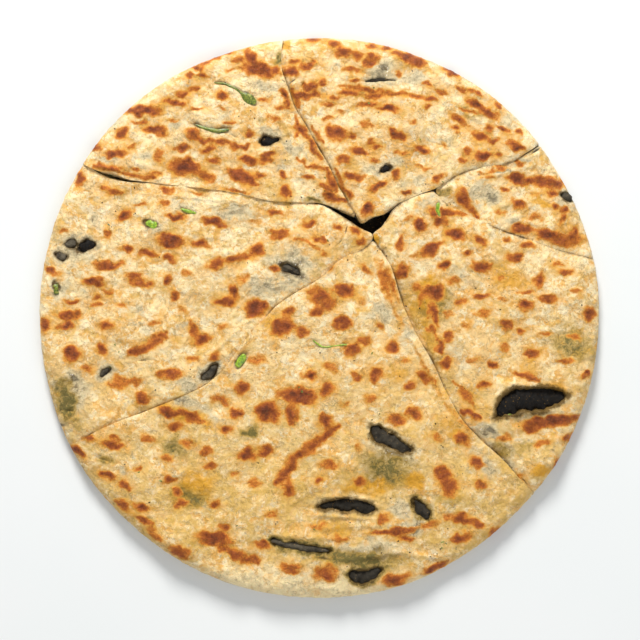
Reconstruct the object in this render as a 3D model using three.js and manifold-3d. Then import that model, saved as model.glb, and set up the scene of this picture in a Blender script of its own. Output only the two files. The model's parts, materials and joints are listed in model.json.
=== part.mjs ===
// A round stuffed naan, baked flat and cut into six wedges that still lie together.
// Slices of dark tree-ear mushroom and green herb show through tears in the thin skin.
// Millimetres, +Z up. The origin is the middle of the flat underside, and +Y points to the far side.
import * as THREE from "three";
import { mergeVertices } from "three/addons/utils/BufferGeometryUtils.js";
import Module from "manifold-3d";

const wasm = await Module();
wasm.setup();

// ---- Driving dimensions ----
const breadRadius = 129.6; // middle of the rim, before its hand-shaped wobble
const middleThick = 11.2; // dough and filling together, near the middle
const rimFall = 2.6; // how much thinner the bread is just inside its rim
const rimRound = { reach: 7, drop: 4.4 }; // the rim's rounded upper edge
const cutRound = { reach: 5.5, drop: 1.9 }; // skin pressed down by the knife along each cut
const rimFoot = { inset: 3, height: 0, midInset: 0.8, midHeight: 1.6 }; // the rim's lower edge
const knifeGap = 0.5; // left between two wedges where a cut is closed
const nestGap = 0.35; // room between a piece of filling and the dough round it
const nestMouth = 3; // how much further a nest is carved upwards, so that it always opens through the skin
const rimStep = 6; // spacing of the points round the rim
const edgeRings = [0, 1.1, 2.7, 5.2, 10]; // rings of the upper face, as insets from the outline
const innerRings = [0.7, 0.36]; // and then as shares of the way out from the middle
const edgeShare = 0.28; // the most of that way the edge rings may take up in a narrow wedge
const cutStep = 5.5; // spacing of the points along a cut

const dough = { color: 0xe9cd97, roughness: 0.62, metalness: 0 };
const mushroom = { color: 0x25201c, roughness: 0.32, metalness: 0 };
const herb = { color: 0x6f8c2a, roughness: 0.5, metalness: 0 };

// ---- Cuts, from the middle outwards: x, y, and how far the cut stands open at the top ----
const cuts = {
  topLeft: [
    [13, 53.5, 0.9], [9, 60, 0.9], [6, 67, 1.2], [3, 72.5, 1.5], [0.5, 77, 2.2], [-2, 81, 1.5], [-5, 87, 1.8],
    [-8, 91.5, 1.5], [-11, 96, 1.1], [-13, 102, 1.1], [-14.5, 107, 1], [-17, 113, 0.9], [-17.5, 120, 0.9],
    [-16.5, 128.5, 1],
  ],
  left: [
    [-5, 52.6, 1.7], [-12, 53, 1], [-22, 53.3, 0.8], [-33, 56, 0.8], [-43, 58, 0.9], [-55, 59.5, 0.9],
    [-66, 60.8, 1.2], [-77, 61.8, 1.9], [-87, 62.5, 2.8], [-95, 64.7, 4.4], [-102, 67, 2.4], [-106, 69.3, 1.4],
    [-109.3, 71, 1.6],
  ],
  lowerLeft: [
    [14, 28.5, 1.1], [8, 25, 1.5], [4, 20.5, 1.9], [0, 17, 1.5], [-7, 13, 1], [-13, 9.5, 0.9], [-20, 4.5, 1.2],
    [-24, 0, 1.2], [-29, -5, 0.9], [-34, -11, 0.8], [-39, -18, 0.8], [-44, -25, 1.1], [-52, -31.5, 1],
    [-62, -36.5, 0.9], [-72, -40.5, 0.9], [-82, -44.5, 0.8], [-92, -48, 0.8], [-101, -52, 0.8], [-109, -56.5, 0.8],
    [-115, -59.5, 0.9],
  ],
  lowerRight: [
    [29, 30, 0.9], [33, 24, 1.5], [35.5, 17, 1.8], [37, 11, 1.7], [39, 5, 1.5], [42, -2, 1.3], [46, -10, 1.1],
    [50, -16.5, 1.1], [54, -24, 1.1], [57.5, -32, 1.1], [61, -39, 1.1], [65, -46, 1.1], [70, -52, 1], [76, -58, 0.9],
    [82, -63, 1], [87, -68, 1.1], [92, -74, 1.1], [97, -79, 0.9], [100, -82, 0.9],
  ],
  right: [
    [56, 54.5, 0.9], [60, 51.5, 0.9], [67, 48, 0.8], [74, 44.5, 0.8], [82, 41, 0.8], [91, 38, 1], [100, 35, 1.3],
    [110, 31.3, 1.6], [119, 29, 1.5], [126.3, 27.3, 1.5],
  ],
  upperRight: [
    [57, 60.7, 1], [62, 64, 0.9], [69, 67, 0.8], [77, 69.3, 0.9], [85, 70.3, 1.1], [91, 72.3, 1.6], [95, 75, 2.2],
    [99, 77.3, 2.2], [102, 79.5, 2.4],
  ],
};

// ---- Wedges, anticlockwise. tip is the free edge round the torn middle, from the "to" cut to the "from" cut.
// lift raises or sinks a whole wedge. swells are soft rises and hollows of its skin: x, y, reach, height. ----
const wedges = {
  wedge_top: {
    from: "upperRight",
    to: "topLeft",
    tip: [[16.5, 48.6], [19.3, 43.4], [21, 43.5], [25, 46.3], [30, 47.3], [33, 49.4], [37, 52.3], [42, 54.8], [47, 56.9], [52, 58.6]],
    lift: 0.3,
    swells: [[34, 98, 20, 0.9], [60, 88, 16, -0.5], [18, 66, 12, 0.8], [-6, 116, 9, 0.7], [30, 68, 6, -0.6], [86, 82, 12, 0.7]],
  },
  wedge_upper_left: {
    from: "topLeft",
    to: "left",
    tip: [[-1, 52.9], [4, 51.8], [8.5, 50], [13, 47.7], [17, 46.1], [16, 48.8]],
    lift: 0.5,
    swells: [[-96, 70, 10, 1.5], [-40, 92, 18, 0.9], [-12, 78, 8, 0.9], [-70, 76, 12, -0.5], [-30, 112, 14, 0.6], [-2, 60, 8, 0.7]],
  },
  wedge_left: {
    from: "left",
    to: "lowerLeft",
    tip: [[20.2, 31], [23.7, 33.9], [25, 36.6], [24.7, 38.2], [22.4, 39.2], [19.5, 40.5], [14, 44.1], [8, 47.9], [2, 51.2]],
    lift: -0.5,
    swells: [[-14, 25, 14, 1.1], [-28, 15, 9, 0.7], [-68, 30, 18, 0.8], [-112, 30, 12, -0.6], [-50, 4, 16, -0.5], [-95, -18, 16, 0.7], [10, 38, 8, 0.6]],
  },
  wedge_front: {
    from: "lowerLeft",
    to: "lowerRight",
    tip: [[26.5, 33.5], [25, 35.2], [23.6, 33], [20, 30.2]],
    lift: 0.7,
    swells: [[4, 2, 22, 1], [-2, -48, 24, 0.7], [34, -66, 13, 1], [16, -92, 14, -0.8], [-50, -62, 18, -0.6], [-60, -98, 22, 0.7], [62, -76, 15, 0.8], [16, -112, 16, 0.5], [31, 8, 7, -0.9]],
  },
  wedge_right: {
    from: "lowerRight",
    to: "right",
    tip: [[52.6, 57.9], [47.3, 56.3], [42.3, 54.3], [37.2, 51.7], [34, 49], [32.2, 45.5], [29.2, 41.2], [25.2, 38.4], [25.8, 35.8]],
    lift: 0.1,
    swells: [[44, 40, 12, 0.9], [76, 20, 20, 0.7], [52, 6, 12, -0.8], [98, -36, 16, 0.9], [96, -56, 12, -0.6], [114, 8, 13, 0.6]],
  },
  wedge_upper_right: {
    from: "right",
    to: "upperRight",
    tip: [[54.2, 58.7], [54, 57.8], [55.4, 56]],
    lift: -0.7,
    swells: [[90, 52, 15, 0.7], [68, 56, 9, 0.4], [112, 44, 10, -0.4]],
  },
};

// Long soft waves of the whole sheet: waves per millimetre along x and y, start, height.
const waves = [
  [0.021, 0.014, 0.4, 0.5],
  [-0.012, 0.027, 1.9, 0.4],
  [0.034, -0.019, 3.1, 0.25],
];

// ---- Filling that shows: each piece is a strip along a path, widest in its middle ----
// wide and thick are full sizes, point is how thin the ends get, proud is how far it stands above the skin.
const fillings = [
  { name: "mushroom_right", wedge: "wedge_right", look: mushroom, path: [[83.4, -44.4], [87, -40.8], [92, -38.4], [98, -37.4], [106, -37.4], [113, -36.8]], wide: 10, thick: 3.4, point: 0.3, proud: 0.1 },
  { name: "mushroom_front_middle", wedge: "wedge_front", look: mushroom, path: [[25, -51], [31, -55.5], [36, -58.5], [41.5, -60.3]], wide: 6, thick: 3, point: 0.45, proud: 0.2 },
  { name: "mushroom_front_slit", wedge: "wedge_front", look: mushroom, path: [[0.5, -87], [8, -86.4], [17, -86.3], [26, -88.6]], wide: 6.4, thick: 3, point: 0.35, proud: 0 },
  { name: "mushroom_front_corner", wedge: "wedge_front", look: mushroom, path: [[44.5, -84.5], [47, -88.5], [50, -93]], wide: 5.6, thick: 3, point: 0.5, proud: 0 },
  { name: "mushroom_front_long", wedge: "wedge_front", look: mushroom, path: [[-22, -102.8], [-14, -105], [-5, -106.8], [5, -107.6]], wide: 3.4, thick: 2.4, point: 0.4, proud: 0 },
  { name: "mushroom_front_rim", wedge: "wedge_front", look: mushroom, path: [[14, -118.8], [19, -119.4], [24, -118.6], [28.5, -116.4]], wide: 6, thick: 2.8, point: 0.4, proud: 0.1 },
  { name: "mushroom_left_black", wedge: "wedge_left", look: mushroom, path: [[-110, 31.6], [-106.5, 33.4], [-103.2, 33.2]], wide: 4.6, thick: 2.6, point: 0.5, proud: 0.1 },
  { name: "mushroom_left_grey", wedge: "wedge_left", look: mushroom, path: [[-117, 33.6], [-114.4, 34.2], [-112, 33.6]], wide: 4.4, thick: 2.6, point: 0.6, proud: 0.2 },
  { name: "mushroom_left_low", wedge: "wedge_left", look: mushroom, path: [[-121, 28.6], [-118.6, 27.6], [-116.6, 28]], wide: 4.4, thick: 2.4, point: 0.6, proud: 0.2 },
  { name: "mushroom_left_middle", wedge: "wedge_left", look: mushroom, path: [[-16.5, 23.4], [-12.5, 22.2], [-8.5, 19.4]], wide: 5, thick: 2.6, point: 0.5, proud: 0.3 },
  { name: "mushroom_left_lower", wedge: "wedge_left", look: mushroom, path: [[-100.6, -27.4], [-98.6, -25.4], [-96.8, -23.8]], wide: 3.2, thick: 2.2, point: 0.6, proud: 0.1 },
  { name: "mushroom_by_cut", wedge: "wedge_left", look: mushroom, path: [[-53.6, -28.6], [-50.4, -26.4], [-47, -22.4]], wide: 3.6, thick: 2.6, point: 0.5, proud: 0.2 },
  { name: "mushroom_upper_left", wedge: "wedge_upper_left", look: mushroom, path: [[-26.4, 80.8], [-23, 80.6], [-18, 82]], wide: 4.6, thick: 2.6, point: 0.3, proud: -0.4 },
  { name: "mushroom_top_slit", wedge: "wedge_top", look: mushroom, path: [[21.5, 108.3], [29, 109.1], [36.5, 108.9]], wide: 2, thick: 2, point: 0.4, proud: -0.3 },
  { name: "mushroom_top_spot", wedge: "wedge_top", look: mushroom, path: [[28.8, 67], [30.6, 68], [32.4, 69]], wide: 3.2, thick: 2.2, point: 0.6, proud: 0.1 },
  { name: "mushroom_upper_right", wedge: "wedge_upper_right", look: mushroom, path: [[112.6, 56.2], [114.8, 55], [117, 53.6]], wide: 4, thick: 2.4, point: 0.6, proud: 0.1 },
  { name: "herb_sprig", wedge: "wedge_upper_left", look: herb, path: [[-48, 108], [-43, 107.6], [-38, 105], [-33.6, 101.6], [-29, 98.2]], wide: 3.2, thick: 1, point: 0.7, proud: 0.5 },
  { name: "chive_long", wedge: "wedge_upper_left", look: herb, path: [[-56.6, 88.4], [-51, 86.3], [-46, 85.3], [-41, 86]], wide: 2.8, thick: 1.2, point: 0.6, proud: 0.5 },
  { name: "herb_leaf", wedge: "wedge_left", look: herb, path: [[-79.4, 43.4], [-76.8, 42.4], [-74.2, 41.8]], wide: 4.2, thick: 1.1, point: 0.6, proud: 0.5 },
  { name: "chive_short", wedge: "wedge_left", look: herb, path: [[-63.4, 49.8], [-60, 48.6], [-56.4, 47.6]], wide: 1.5, thick: 1, point: 0.5, proud: 0.5 },
  { name: "herb_by_rim", wedge: "wedge_left", look: herb, path: [[-121.8, 15], [-120.4, 12.8], [-121.6, 10.6]], wide: 3.4, thick: 1.1, point: 0.7, proud: 0.4 },
  { name: "chive_bright", wedge: "wedge_front", look: herb, path: [[-33.9, -17.2], [-35.6, -20], [-37.6, -23]], wide: 3, thick: 1.5, point: 0.8, proud: 0.6 },
  { name: "herb_stalk", wedge: "wedge_front", look: herb, path: [[-2.6, -10.6], [0, -13], [2.4, -14], [8, -13.2], [13, -12.6]], wide: 1, thick: 0.9, point: 0.7, proud: 0.5 },
  { name: "herb_right", wedge: "wedge_right", look: herb, path: [[55.2, 52.6], [54.6, 49.4], [55.8, 46.4]], wide: 2, thick: 1, point: 0.6, proud: 0.4 },
];

// The filling that has slipped down into the torn middle lies on whatever the bread lies on.
const slippedFilling = {
  name: "filling_in_middle",
  outline: [[9.2, 48.2], [14.4, 44.7], [19.8, 41.1], [22.8, 39.8], [25, 39.1], [28.7, 41.8], [31.6, 45.6],
    [32.2, 47.4], [30.4, 46.8], [25.3, 45.6], [21.2, 42.9], [18.8, 43], [16.6, 45.6], [12.6, 47.4], [9.6, 49]],
  height: 5.2,
  bevel: 0.4,
};

// ---- Helpers ----
const mix = (a, b, t) => a + (b - a) * t;
const smooth = (t) => t * t * (3 - 2 * t);
const clamp01 = (t) => Math.min(1, Math.max(0, t));

function rimRadius(angle) {
  return breadRadius + 0.45 * Math.sin(3 * angle + 0.6) + 0.3 * Math.sin(5 * angle + 2.2) + 0.2 * Math.sin(9 * angle);
}

// One side of a cut: moved off its middle line by half the closed gap, and opened further at the top.
// Both sides are taken from the same points, so the gap between them holds its width.
function cutSide(cut, side) {
  const line = new THREE.CatmullRomCurve3(cut.map(([x, y, open]) => new THREE.Vector3(x, y, open)));
  const spots = line.getSpacedPoints(Math.round(line.getLength() / cutStep));
  return spots.map(({ x, y, z: open }, i) => {
    const before = spots[Math.max(0, i - 1)];
    const after = spots[Math.min(spots.length - 1, i + 1)];
    const along = new THREE.Vector2(after.x - before.x, after.y - before.y).normalize();
    const off = (side * knifeGap) / 2;
    return [x - along.y * off, y + along.x * off, (open - knifeGap) / 2];
  });
}

// A wedge's outline, anticlockwise, as points of x, y and how far the top stands back from the bottom.
function wedgeOutline({ from, to, tip }) {
  const outwards = cutSide(cuts[from], 1);
  const inwards = cutSide(cuts[to], -1).reverse();
  const [ax, ay] = outwards.at(-1);
  const [bx, by] = inwards[0];
  const first = Math.atan2(ay, ax);
  const last = first + ((Math.atan2(by, bx) - first + 4 * Math.PI) % (2 * Math.PI));
  const steps = Math.round(((last - first) * breadRadius) / rimStep);
  const rim = [];
  for (let n = 0; n <= steps; n++) {
    const angle = mix(first, last, n / steps);
    rim.push([rimRadius(angle) * Math.cos(angle), rimRadius(angle) * Math.sin(angle), 0]);
  }
  return [...outwards, ...rim, ...inwards, ...tip.map(([x, y]) => [x, y, 0])];
}

function distanceToCut(outline, x, y) {
  let least = Infinity;
  outline.forEach(([ax, ay], i) => {
    const [bx, by] = outline[(i + 1) % outline.length];
    if (Math.hypot(ax, ay) > breadRadius - 2 && Math.hypot(bx, by) > breadRadius - 2) return;
    const t = clamp01(((x - ax) * (bx - ax) + (y - ay) * (by - ay)) / ((bx - ax) ** 2 + (by - ay) ** 2));
    least = Math.min(least, Math.hypot(x - mix(ax, bx, t), y - mix(ay, by, t)));
  });
  return least;
}

// How far a rounded edge has fallen, at a distance in from it.
function roundedFall(distance, { reach, drop }) {
  const t = clamp01(1 - distance / reach);
  return drop * (1 - Math.sqrt(1 - t * t * 0.96));
}

function topHeight(wedge, x, y) {
  const out = Math.hypot(x, y);
  let z = middleThick + wedge.lift - rimFall * (out / breadRadius) ** 4;
  for (const [u, v, start, height] of waves) z += height * Math.sin(2 * Math.PI * (u * x + v * y) + start);
  for (const [cx, cy, reach, height] of wedge.swells) {
    z += height * Math.exp(-((x - cx) ** 2 + (y - cy) ** 2) / (reach * reach));
  }
  z -= roundedFall(distanceToCut(wedge.outline, x, y), cutRound);
  return z - roundedFall(rimRadius(Math.atan2(y, x)) - out, rimRound);
}

// A closed solid through rings of the same number of points, from one end cap to the other.
function loft(rings) {
  const count = rings[0].length;
  const middle = (ring) => ring.reduce((sum, p) => sum.add(p), new THREE.Vector3()).divideScalar(count);
  const points = [middle(rings[0]), ...rings.flat(), middle(rings.at(-1))];
  const at = (ring, i) => 1 + ring * count + (i % count);
  const index = [];
  for (let i = 0; i < count; i++) {
    index.push(0, at(0, i), at(0, i + 1));
    for (let r = 0; r + 1 < rings.length; r++) {
      index.push(at(r, i), at(r + 1, i), at(r + 1, i + 1));
      index.push(at(r, i), at(r + 1, i + 1), at(r, i + 1));
    }
    index.push(points.length - 1, at(rings.length - 1, i + 1), at(rings.length - 1, i));
  }
  return new THREE.BufferGeometry().setFromPoints(points).setIndex(index);
}

function toSolid(geometry) {
  const bare = geometry.clone();
  bare.deleteAttribute("normal");
  bare.deleteAttribute("uv");
  const merged = mergeVertices(bare, 1e-4);
  const vertProperties = new Float32Array(merged.attributes.position.array);
  return new wasm.Manifold(new wasm.Mesh({ numProp: 3, vertProperties, triVerts: new Uint32Array(merged.index.array) }));
}

function toGeometry(solid) {
  const { vertProperties, triVerts } = solid.getMesh();
  const geometry = new THREE.BufferGeometry().setAttribute("position", new THREE.BufferAttribute(vertProperties, 3));
  geometry.setIndex(new THREE.BufferAttribute(triVerts, 1));
  geometry.computeVertexNormals();
  return geometry;
}

// ---- Sub-parts ----

// One wedge of bread: a pillowed upper skin, cut sides, a rounded rim and a flat underside.
function wedgeSolid(wedge) {
  const { outline } = wedge;
  const area = new THREE.Shape(outline.map(([x, y]) => new THREE.Vector2(x, y)));
  const middle = new THREE.Vector2();
  area.getPoints().forEach((p) => middle.add(p));
  middle.divideScalar(outline.length);
  const towards = (x, y, inset) => {
    const way = new THREE.Vector2(middle.x - x, middle.y - y);
    const far = way.length();
    const move = (inset / far) * Math.min(1, (far * edgeShare) / edgeRings.at(-1));
    return [x + way.x * move, y + way.y * move];
  };
  const topLine = outline.map(([x, y, open]) => towards(x, y, open));
  const rings = [...innerRings].reverse().map((share) =>
    topLine.map(([x, y]) => {
      const px = mix(middle.x, x, share);
      const py = mix(middle.y, y, share);
      return new THREE.Vector3(px, py, topHeight(wedge, px, py));
    }),
  );
  for (const inset of [...edgeRings].reverse()) {
    rings.push(
      topLine.map(([x, y]) => {
        const [px, py] = towards(x, y, inset);
        return new THREE.Vector3(px, py, topHeight(wedge, px, py));
      }),
    );
  }
  const onRim = ([x, y]) => smooth(clamp01((Math.hypot(x, y) - breadRadius + 6) / 4));
  rings.push(
    outline.map((p) => {
      const [x, y] = towards(p[0], p[1], onRim(p) * rimFoot.midInset);
      return new THREE.Vector3(x, y, rimFoot.midHeight);
    }),
  );
  rings.push(
    outline.map((p) => {
      const [x, y] = towards(p[0], p[1], onRim(p) * rimFoot.inset);
      return new THREE.Vector3(x, y, rimFoot.height);
    }),
  );
  return toSolid(loft(rings));
}

// A slice of filling along its path, grown by room on every side when it serves to carve its own nest.
function fillingSolid(filling, room) {
  const { path, wide, thick, point, proud } = filling;
  const curve = new THREE.CatmullRomCurve3(path.map(([x, y]) => new THREE.Vector3(x, y, 0)));
  const steps = Math.max(4, Math.round(curve.getLength() / 3.5));
  const sides = 8;
  const rings = [];
  for (let n = 0; n <= steps; n++) {
    const t = n / steps;
    const here = curve.getPointAt(t);
    const way = curve.getTangentAt(t);
    const swell = mix(point, 1, Math.sqrt(Math.max(0, 1 - (2 * t - 1) ** 2)));
    const over = (n === 0 ? -room : 0) + (n === steps ? room : 0);
    here.addScaledVector(way, over);
    const z = topHeight(wedges[filling.wedge], here.x, here.y) + proud - thick / 2;
    const ring = [];
    for (let k = 0; k < sides; k++) {
      const turn = (2 * Math.PI * (k + 0.5)) / sides;
      const across = Math.cos(turn) * ((wide * swell) / 2 + room);
      const up = Math.sin(turn) * ((thick * swell) / 2 + room);
      const mouth = room > 0 && up > 0 ? nestMouth : 0;
      ring.push(new THREE.Vector3(here.x + way.y * across, here.y - way.x * across, z + up + mouth));
    }
    rings.push(ring);
  }
  return toSolid(loft(rings));
}

function slippedFillingSolid({ outline, height, bevel }) {
  const shape = new THREE.Shape(outline.map(([x, y]) => new THREE.Vector2(x, y)));
  const depth = height - 2 * bevel;
  const options = { depth, bevelSize: bevel, bevelThickness: bevel, bevelOffset: -bevel, bevelSegments: 1 };
  return toSolid(new THREE.ExtrudeGeometry(shape, options).translate(0, 0, bevel));
}

function meshOf(name, solid, look) {
  const mesh = new THREE.Mesh(toGeometry(solid), new THREE.MeshStandardMaterial(look));
  mesh.name = name;
  return mesh;
}

// ---- Assembly ----
const naan = new THREE.Group();
for (const wedge of Object.values(wedges)) wedge.outline = wedgeOutline(wedge);

for (const [name, wedge] of Object.entries(wedges)) {
  let solid = wedgeSolid(wedge);
  for (const filling of fillings.filter((f) => f.wedge === name)) {
    solid = solid.subtract(fillingSolid(filling, nestGap));
  }
  naan.add(meshOf(name, solid, dough));
}
for (const filling of fillings) naan.add(meshOf(filling.name, fillingSolid(filling, 0), filling.look));
naan.add(meshOf(slippedFilling.name, slippedFillingSolid(slippedFilling), mushroom));

// The wobble of the rim leaves the bread a little off centre, so it is moved back over the origin.
const box = new THREE.Box3().setFromObject(naan);
naan.position.set(-(box.min.x + box.max.x) / 2, -(box.min.y + box.max.y) / 2, 0);

export default naan;
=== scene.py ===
import json
import math

import bmesh
import bpy
import numpy as np
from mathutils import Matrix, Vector, kdtree

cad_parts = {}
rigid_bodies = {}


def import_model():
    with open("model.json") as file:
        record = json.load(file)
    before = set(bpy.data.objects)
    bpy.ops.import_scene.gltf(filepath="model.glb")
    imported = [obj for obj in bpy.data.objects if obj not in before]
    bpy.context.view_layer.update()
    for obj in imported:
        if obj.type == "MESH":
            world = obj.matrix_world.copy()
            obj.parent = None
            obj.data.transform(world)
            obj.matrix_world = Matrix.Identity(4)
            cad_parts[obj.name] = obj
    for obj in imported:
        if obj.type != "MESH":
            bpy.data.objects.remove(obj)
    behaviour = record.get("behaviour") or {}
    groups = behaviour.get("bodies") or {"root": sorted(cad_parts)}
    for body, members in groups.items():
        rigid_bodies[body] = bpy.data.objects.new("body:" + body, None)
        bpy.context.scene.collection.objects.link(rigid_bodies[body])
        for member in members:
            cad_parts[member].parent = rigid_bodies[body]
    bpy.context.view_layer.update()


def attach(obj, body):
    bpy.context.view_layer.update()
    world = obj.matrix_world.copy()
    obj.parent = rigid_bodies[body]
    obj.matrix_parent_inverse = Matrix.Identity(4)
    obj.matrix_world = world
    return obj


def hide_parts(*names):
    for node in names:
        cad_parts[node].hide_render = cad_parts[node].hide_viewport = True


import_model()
mm = 0.001  # every list below is in millimetres
manyCorners = 50  # only a wedge's flat underside has a face with more

# what holds for the whole bread
bread = {
    "radius": 129.6,
    "middleThick": 11.2,
    "rimFall": 2.6,  # thinner towards the rim
    "rimReach": 7, "rimDrop": 4.4,  # rounding of the rim
    "cutReach": 4, "cutDrop": 1.1,  # skin pressed down along a cut
    "knifeGap": -0.3,  # closed edges just meet
    "leanFrom": 1.5,  # cuts that stand wider open than this have leaning sides
    "grid": 0.5,  # spacing of the wedge meshes
    "step": 1.2, "fineStep": 0.4,  # spacing of the points along cuts and rim
    "slab": 10,  # height of the plain slabs that everything is pressed from
    "tipGrow": 0.2,  # free edges reach a little further
    "tipPress": 0.8,
    "raggedness": 0.1,
    "rimWobble": [(3, 0.6, 0.45), (5, 2.2, 0.3), (9, 0, 0.2)],  # waves round the rim, start, height
    "easeFrom": 11.8, "ease": 0.4,  # higher swellings are eased down by this share
}

# cuts from the middle outwards: x, y, how far the cut stands open at the top
cuts = {
    "topLeft": [
        (13, 53.5, 0.9), (9, 60, 0.9), (6, 67, 1.2), (3, 72.5, 1.5), (0.5, 77, 2.2), (-2, 81, 1.5),
        (-5, 87, 1.8), (-8, 91.5, 1.5), (-11, 96, 1.1), (-13, 102, 1.1), (-14.5, 107, 1), (-17, 113, 0.9),
        (-17.5, 120, 0.9), (-16.5, 128.5, 1)],
    "left": [
        (-5, 52.6, 1.7), (-12, 53, 1), (-22, 53.3, 0.8), (-33, 56, 0.8), (-43, 58, 0.9), (-55, 59.5, 0.9),
        (-66, 60.8, 1.2), (-77, 61.8, 1.9), (-87, 62.5, 2.8), (-95, 64.7, 4.4), (-102, 67, 2.4),
        (-106, 69.3, 1.4), (-109.3, 71, 1.6)],
    "lowerLeft": [
        (14, 28.5, 1.1), (8, 25, 1.5), (4, 20.5, 1.9), (0, 17, 1.5), (-7, 13, 1), (-13, 9.5, 0.9),
        (-20, 4.5, 1.2), (-24, 0, 1.2), (-29, -5, 0.9), (-34, -11, 0.8), (-39, -18, 0.8), (-44, -25, 1.1),
        (-52, -31.5, 1), (-62, -36.5, 0.9), (-72, -40.5, 0.9), (-82, -44.5, 0.8), (-92, -48, 0.8),
        (-101, -52, 0.8), (-109, -56.5, 0.8), (-115, -59.5, 0.9)],
    "lowerRight": [
        (29, 30, 0.9), (33, 24, 1.5), (35.5, 17, 1.8), (37, 11, 1.7), (39, 5, 1.5), (42, -2, 1.3),
        (46, -10, 1.1), (50, -16.5, 1.1), (54, -24, 1.1), (57.5, -32, 1.1), (61, -39, 1.1), (65, -46, 1.1),
        (70, -52, 1), (76, -58, 0.9), (82, -63, 1), (87, -68, 1.1), (92, -74, 1.1), (97, -79, 0.9),
        (100, -82, 0.9)],
    "right": [
        (56, 54.5, 0.9), (60, 51.5, 0.9), (67, 48, 0.8), (74, 44.5, 0.8), (82, 41, 0.8), (91, 38, 1),
        (100, 35, 1.3), (110, 31.3, 1.6), (119, 29, 1.5), (126.3, 27.3, 1.5)],
    "upperRight": [
        (57, 60.7, 1), (62, 64, 0.9), (69, 67, 0.8), (77, 69.3, 0.9), (85, 70.3, 1.1), (91, 72.3, 1.6),
        (95, 75, 2.2), (99, 77.3, 2.2), (102, 79.5, 2.4)],
}

# how much the skin is pressed down beside a cut, on its left and on its right going outwards
pressed = {
    "topLeft": (0.3, 1.7), "left": (0.4, 0.2), "lowerLeft": (0.1, 0.9), "lowerRight": (1.9, 0.3),
    "right": (0.5, 1.2), "upperRight": (1.1, 0.6),
}

# soft waves of the whole sheet: waves per mm along x and y, start, height
sheetWaves = [(0.021, 0.014, 0.4, 0.5), (-0.012, 0.027, 1.9, 0.4), (0.034, -0.019, 3.1, 0.25)]


def lookAt(thing, place, target):
    thing.location = place
    thing.rotation_euler = (Vector(target) - Vector(place)).to_track_quat("-Z", "Y").to_euler()


studio = {
    "camera": {"place": (0.0007, -0.0014, 0.8285), "lens": 100, "sensor": 36, "farthest": 10},
    "key": {"place": (-0.2, 1.3, 0.85), "size": 0.5, "power": 31, "color": (1.0, 0.985, 0.955)},
    "fill": {"place": (0.6, -1.0, 1.3), "size": 1.6, "power": 11, "color": (0.98, 0.99, 1.0)},
    "sky": 0.4,
}

# the camera looks straight down, with the key light at the top of its view
camera = bpy.data.objects.new("camera", bpy.data.cameras.new("camera"))
bpy.context.scene.collection.objects.link(camera)
camera.location = studio["camera"]["place"]
camera.data.lens = studio["camera"]["lens"]
camera.data.sensor_width = studio["camera"]["sensor"]
camera.data.clip_end = studio["camera"]["farthest"]
bpy.context.scene.camera = camera

for lampName in ("key", "fill"):
    look = studio[lampName]
    lamp = bpy.data.objects.new(lampName, bpy.data.lights.new(lampName, "AREA"))
    lamp.data.shape = "DISK"
    lamp.data.size = look["size"]
    lamp.data.energy = look["power"]
    lamp.data.color = look["color"]
    bpy.context.scene.collection.objects.link(lamp)
    lookAt(lamp, look["place"], (0, 0, 0))
world = bpy.data.worlds.new("studio")
world.use_nodes = True
world.node_tree.nodes["Background"].inputs["Color"].default_value = (0.97, 0.985, 1, 1)
world.node_tree.nodes["Background"].inputs["Strength"].default_value = studio["sky"]
bpy.context.scene.world = world
bpy.context.scene.view_settings.view_transform = "Standard"


def softNoise(x, y, size, seed):
    # smooth random hills between -1 and 1, about size mm across
    table = np.random.default_rng(seed).uniform(-1, 1, (61, 61))
    gx, gy = np.asarray(x) / size + 900.5, np.asarray(y) / size + 900.5
    ix, iy = np.floor(gx).astype(int), np.floor(gy).astype(int)
    fx, fy = gx - ix, gy - iy
    fx, fy = fx * fx * (3 - 2 * fx), fy * fy * (3 - 2 * fy)
    a, b = table[ix % 61, iy % 61], table[(ix + 1) % 61, iy % 61]
    c, d = table[ix % 61, (iy + 1) % 61], table[(ix + 1) % 61, (iy + 1) % 61]
    return (a * (1 - fx) + b * fx) * (1 - fy) + (c * (1 - fx) + d * fx) * fy


def rise(low, high, value):
    # from 0 at low to 1 at high, smoothly
    t = np.clip((value - low) / (high - low), 0, 1)
    return t * t * (3 - 2 * t)


def evenLine(points, step, rounding=0):
    # the same line with evenly spaced points, its corners rounded
    p = np.array(points, float)
    far = np.concatenate([[0], np.cumsum(np.hypot(*np.diff(p[:, :2], axis=0).T))])
    at = np.linspace(0, far[-1], max(2, int(far[-1] / step)) + 1)
    line = np.stack([np.interp(at, far, p[:, k]) for k in range(p.shape[1])], 1)
    for _ in range(rounding):
        line[1:-1] = (line[:-2] + 2 * line[1:-1] + line[2:]) / 4
    return line


def sideOf(cut, side):
    # one side of a cut: x, y and how far its top leans back; side is 1 for the left, -1 for the right
    line = evenLine(cuts[cut], bread["step"], 3)
    way = np.gradient(line[:, :2], axis=0)
    way /= np.hypot(*way.T)[:, None]
    leaf = np.stack([-way[:, 1], way[:, 0]], 1) * side
    ragged = 0.5 * (1 + softNoise(*line[:, :2].T, 2.3, 7 if side > 0 else 8)) * bread["raggedness"]
    off = bread["knifeGap"] / 2 + ragged[:, None] * np.minimum(1, line[:, 2:3])
    line[:, :2] += leaf * off
    line[:, 2] = np.maximum(0, (line[:, 2] - bread["leanFrom"]) / 2)
    return line


def rimAt(angle):
    wobble = sum(height * np.sin(waves * angle + start) for waves, start, height in bread["rimWobble"])
    return bread["radius"] + wobble


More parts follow.
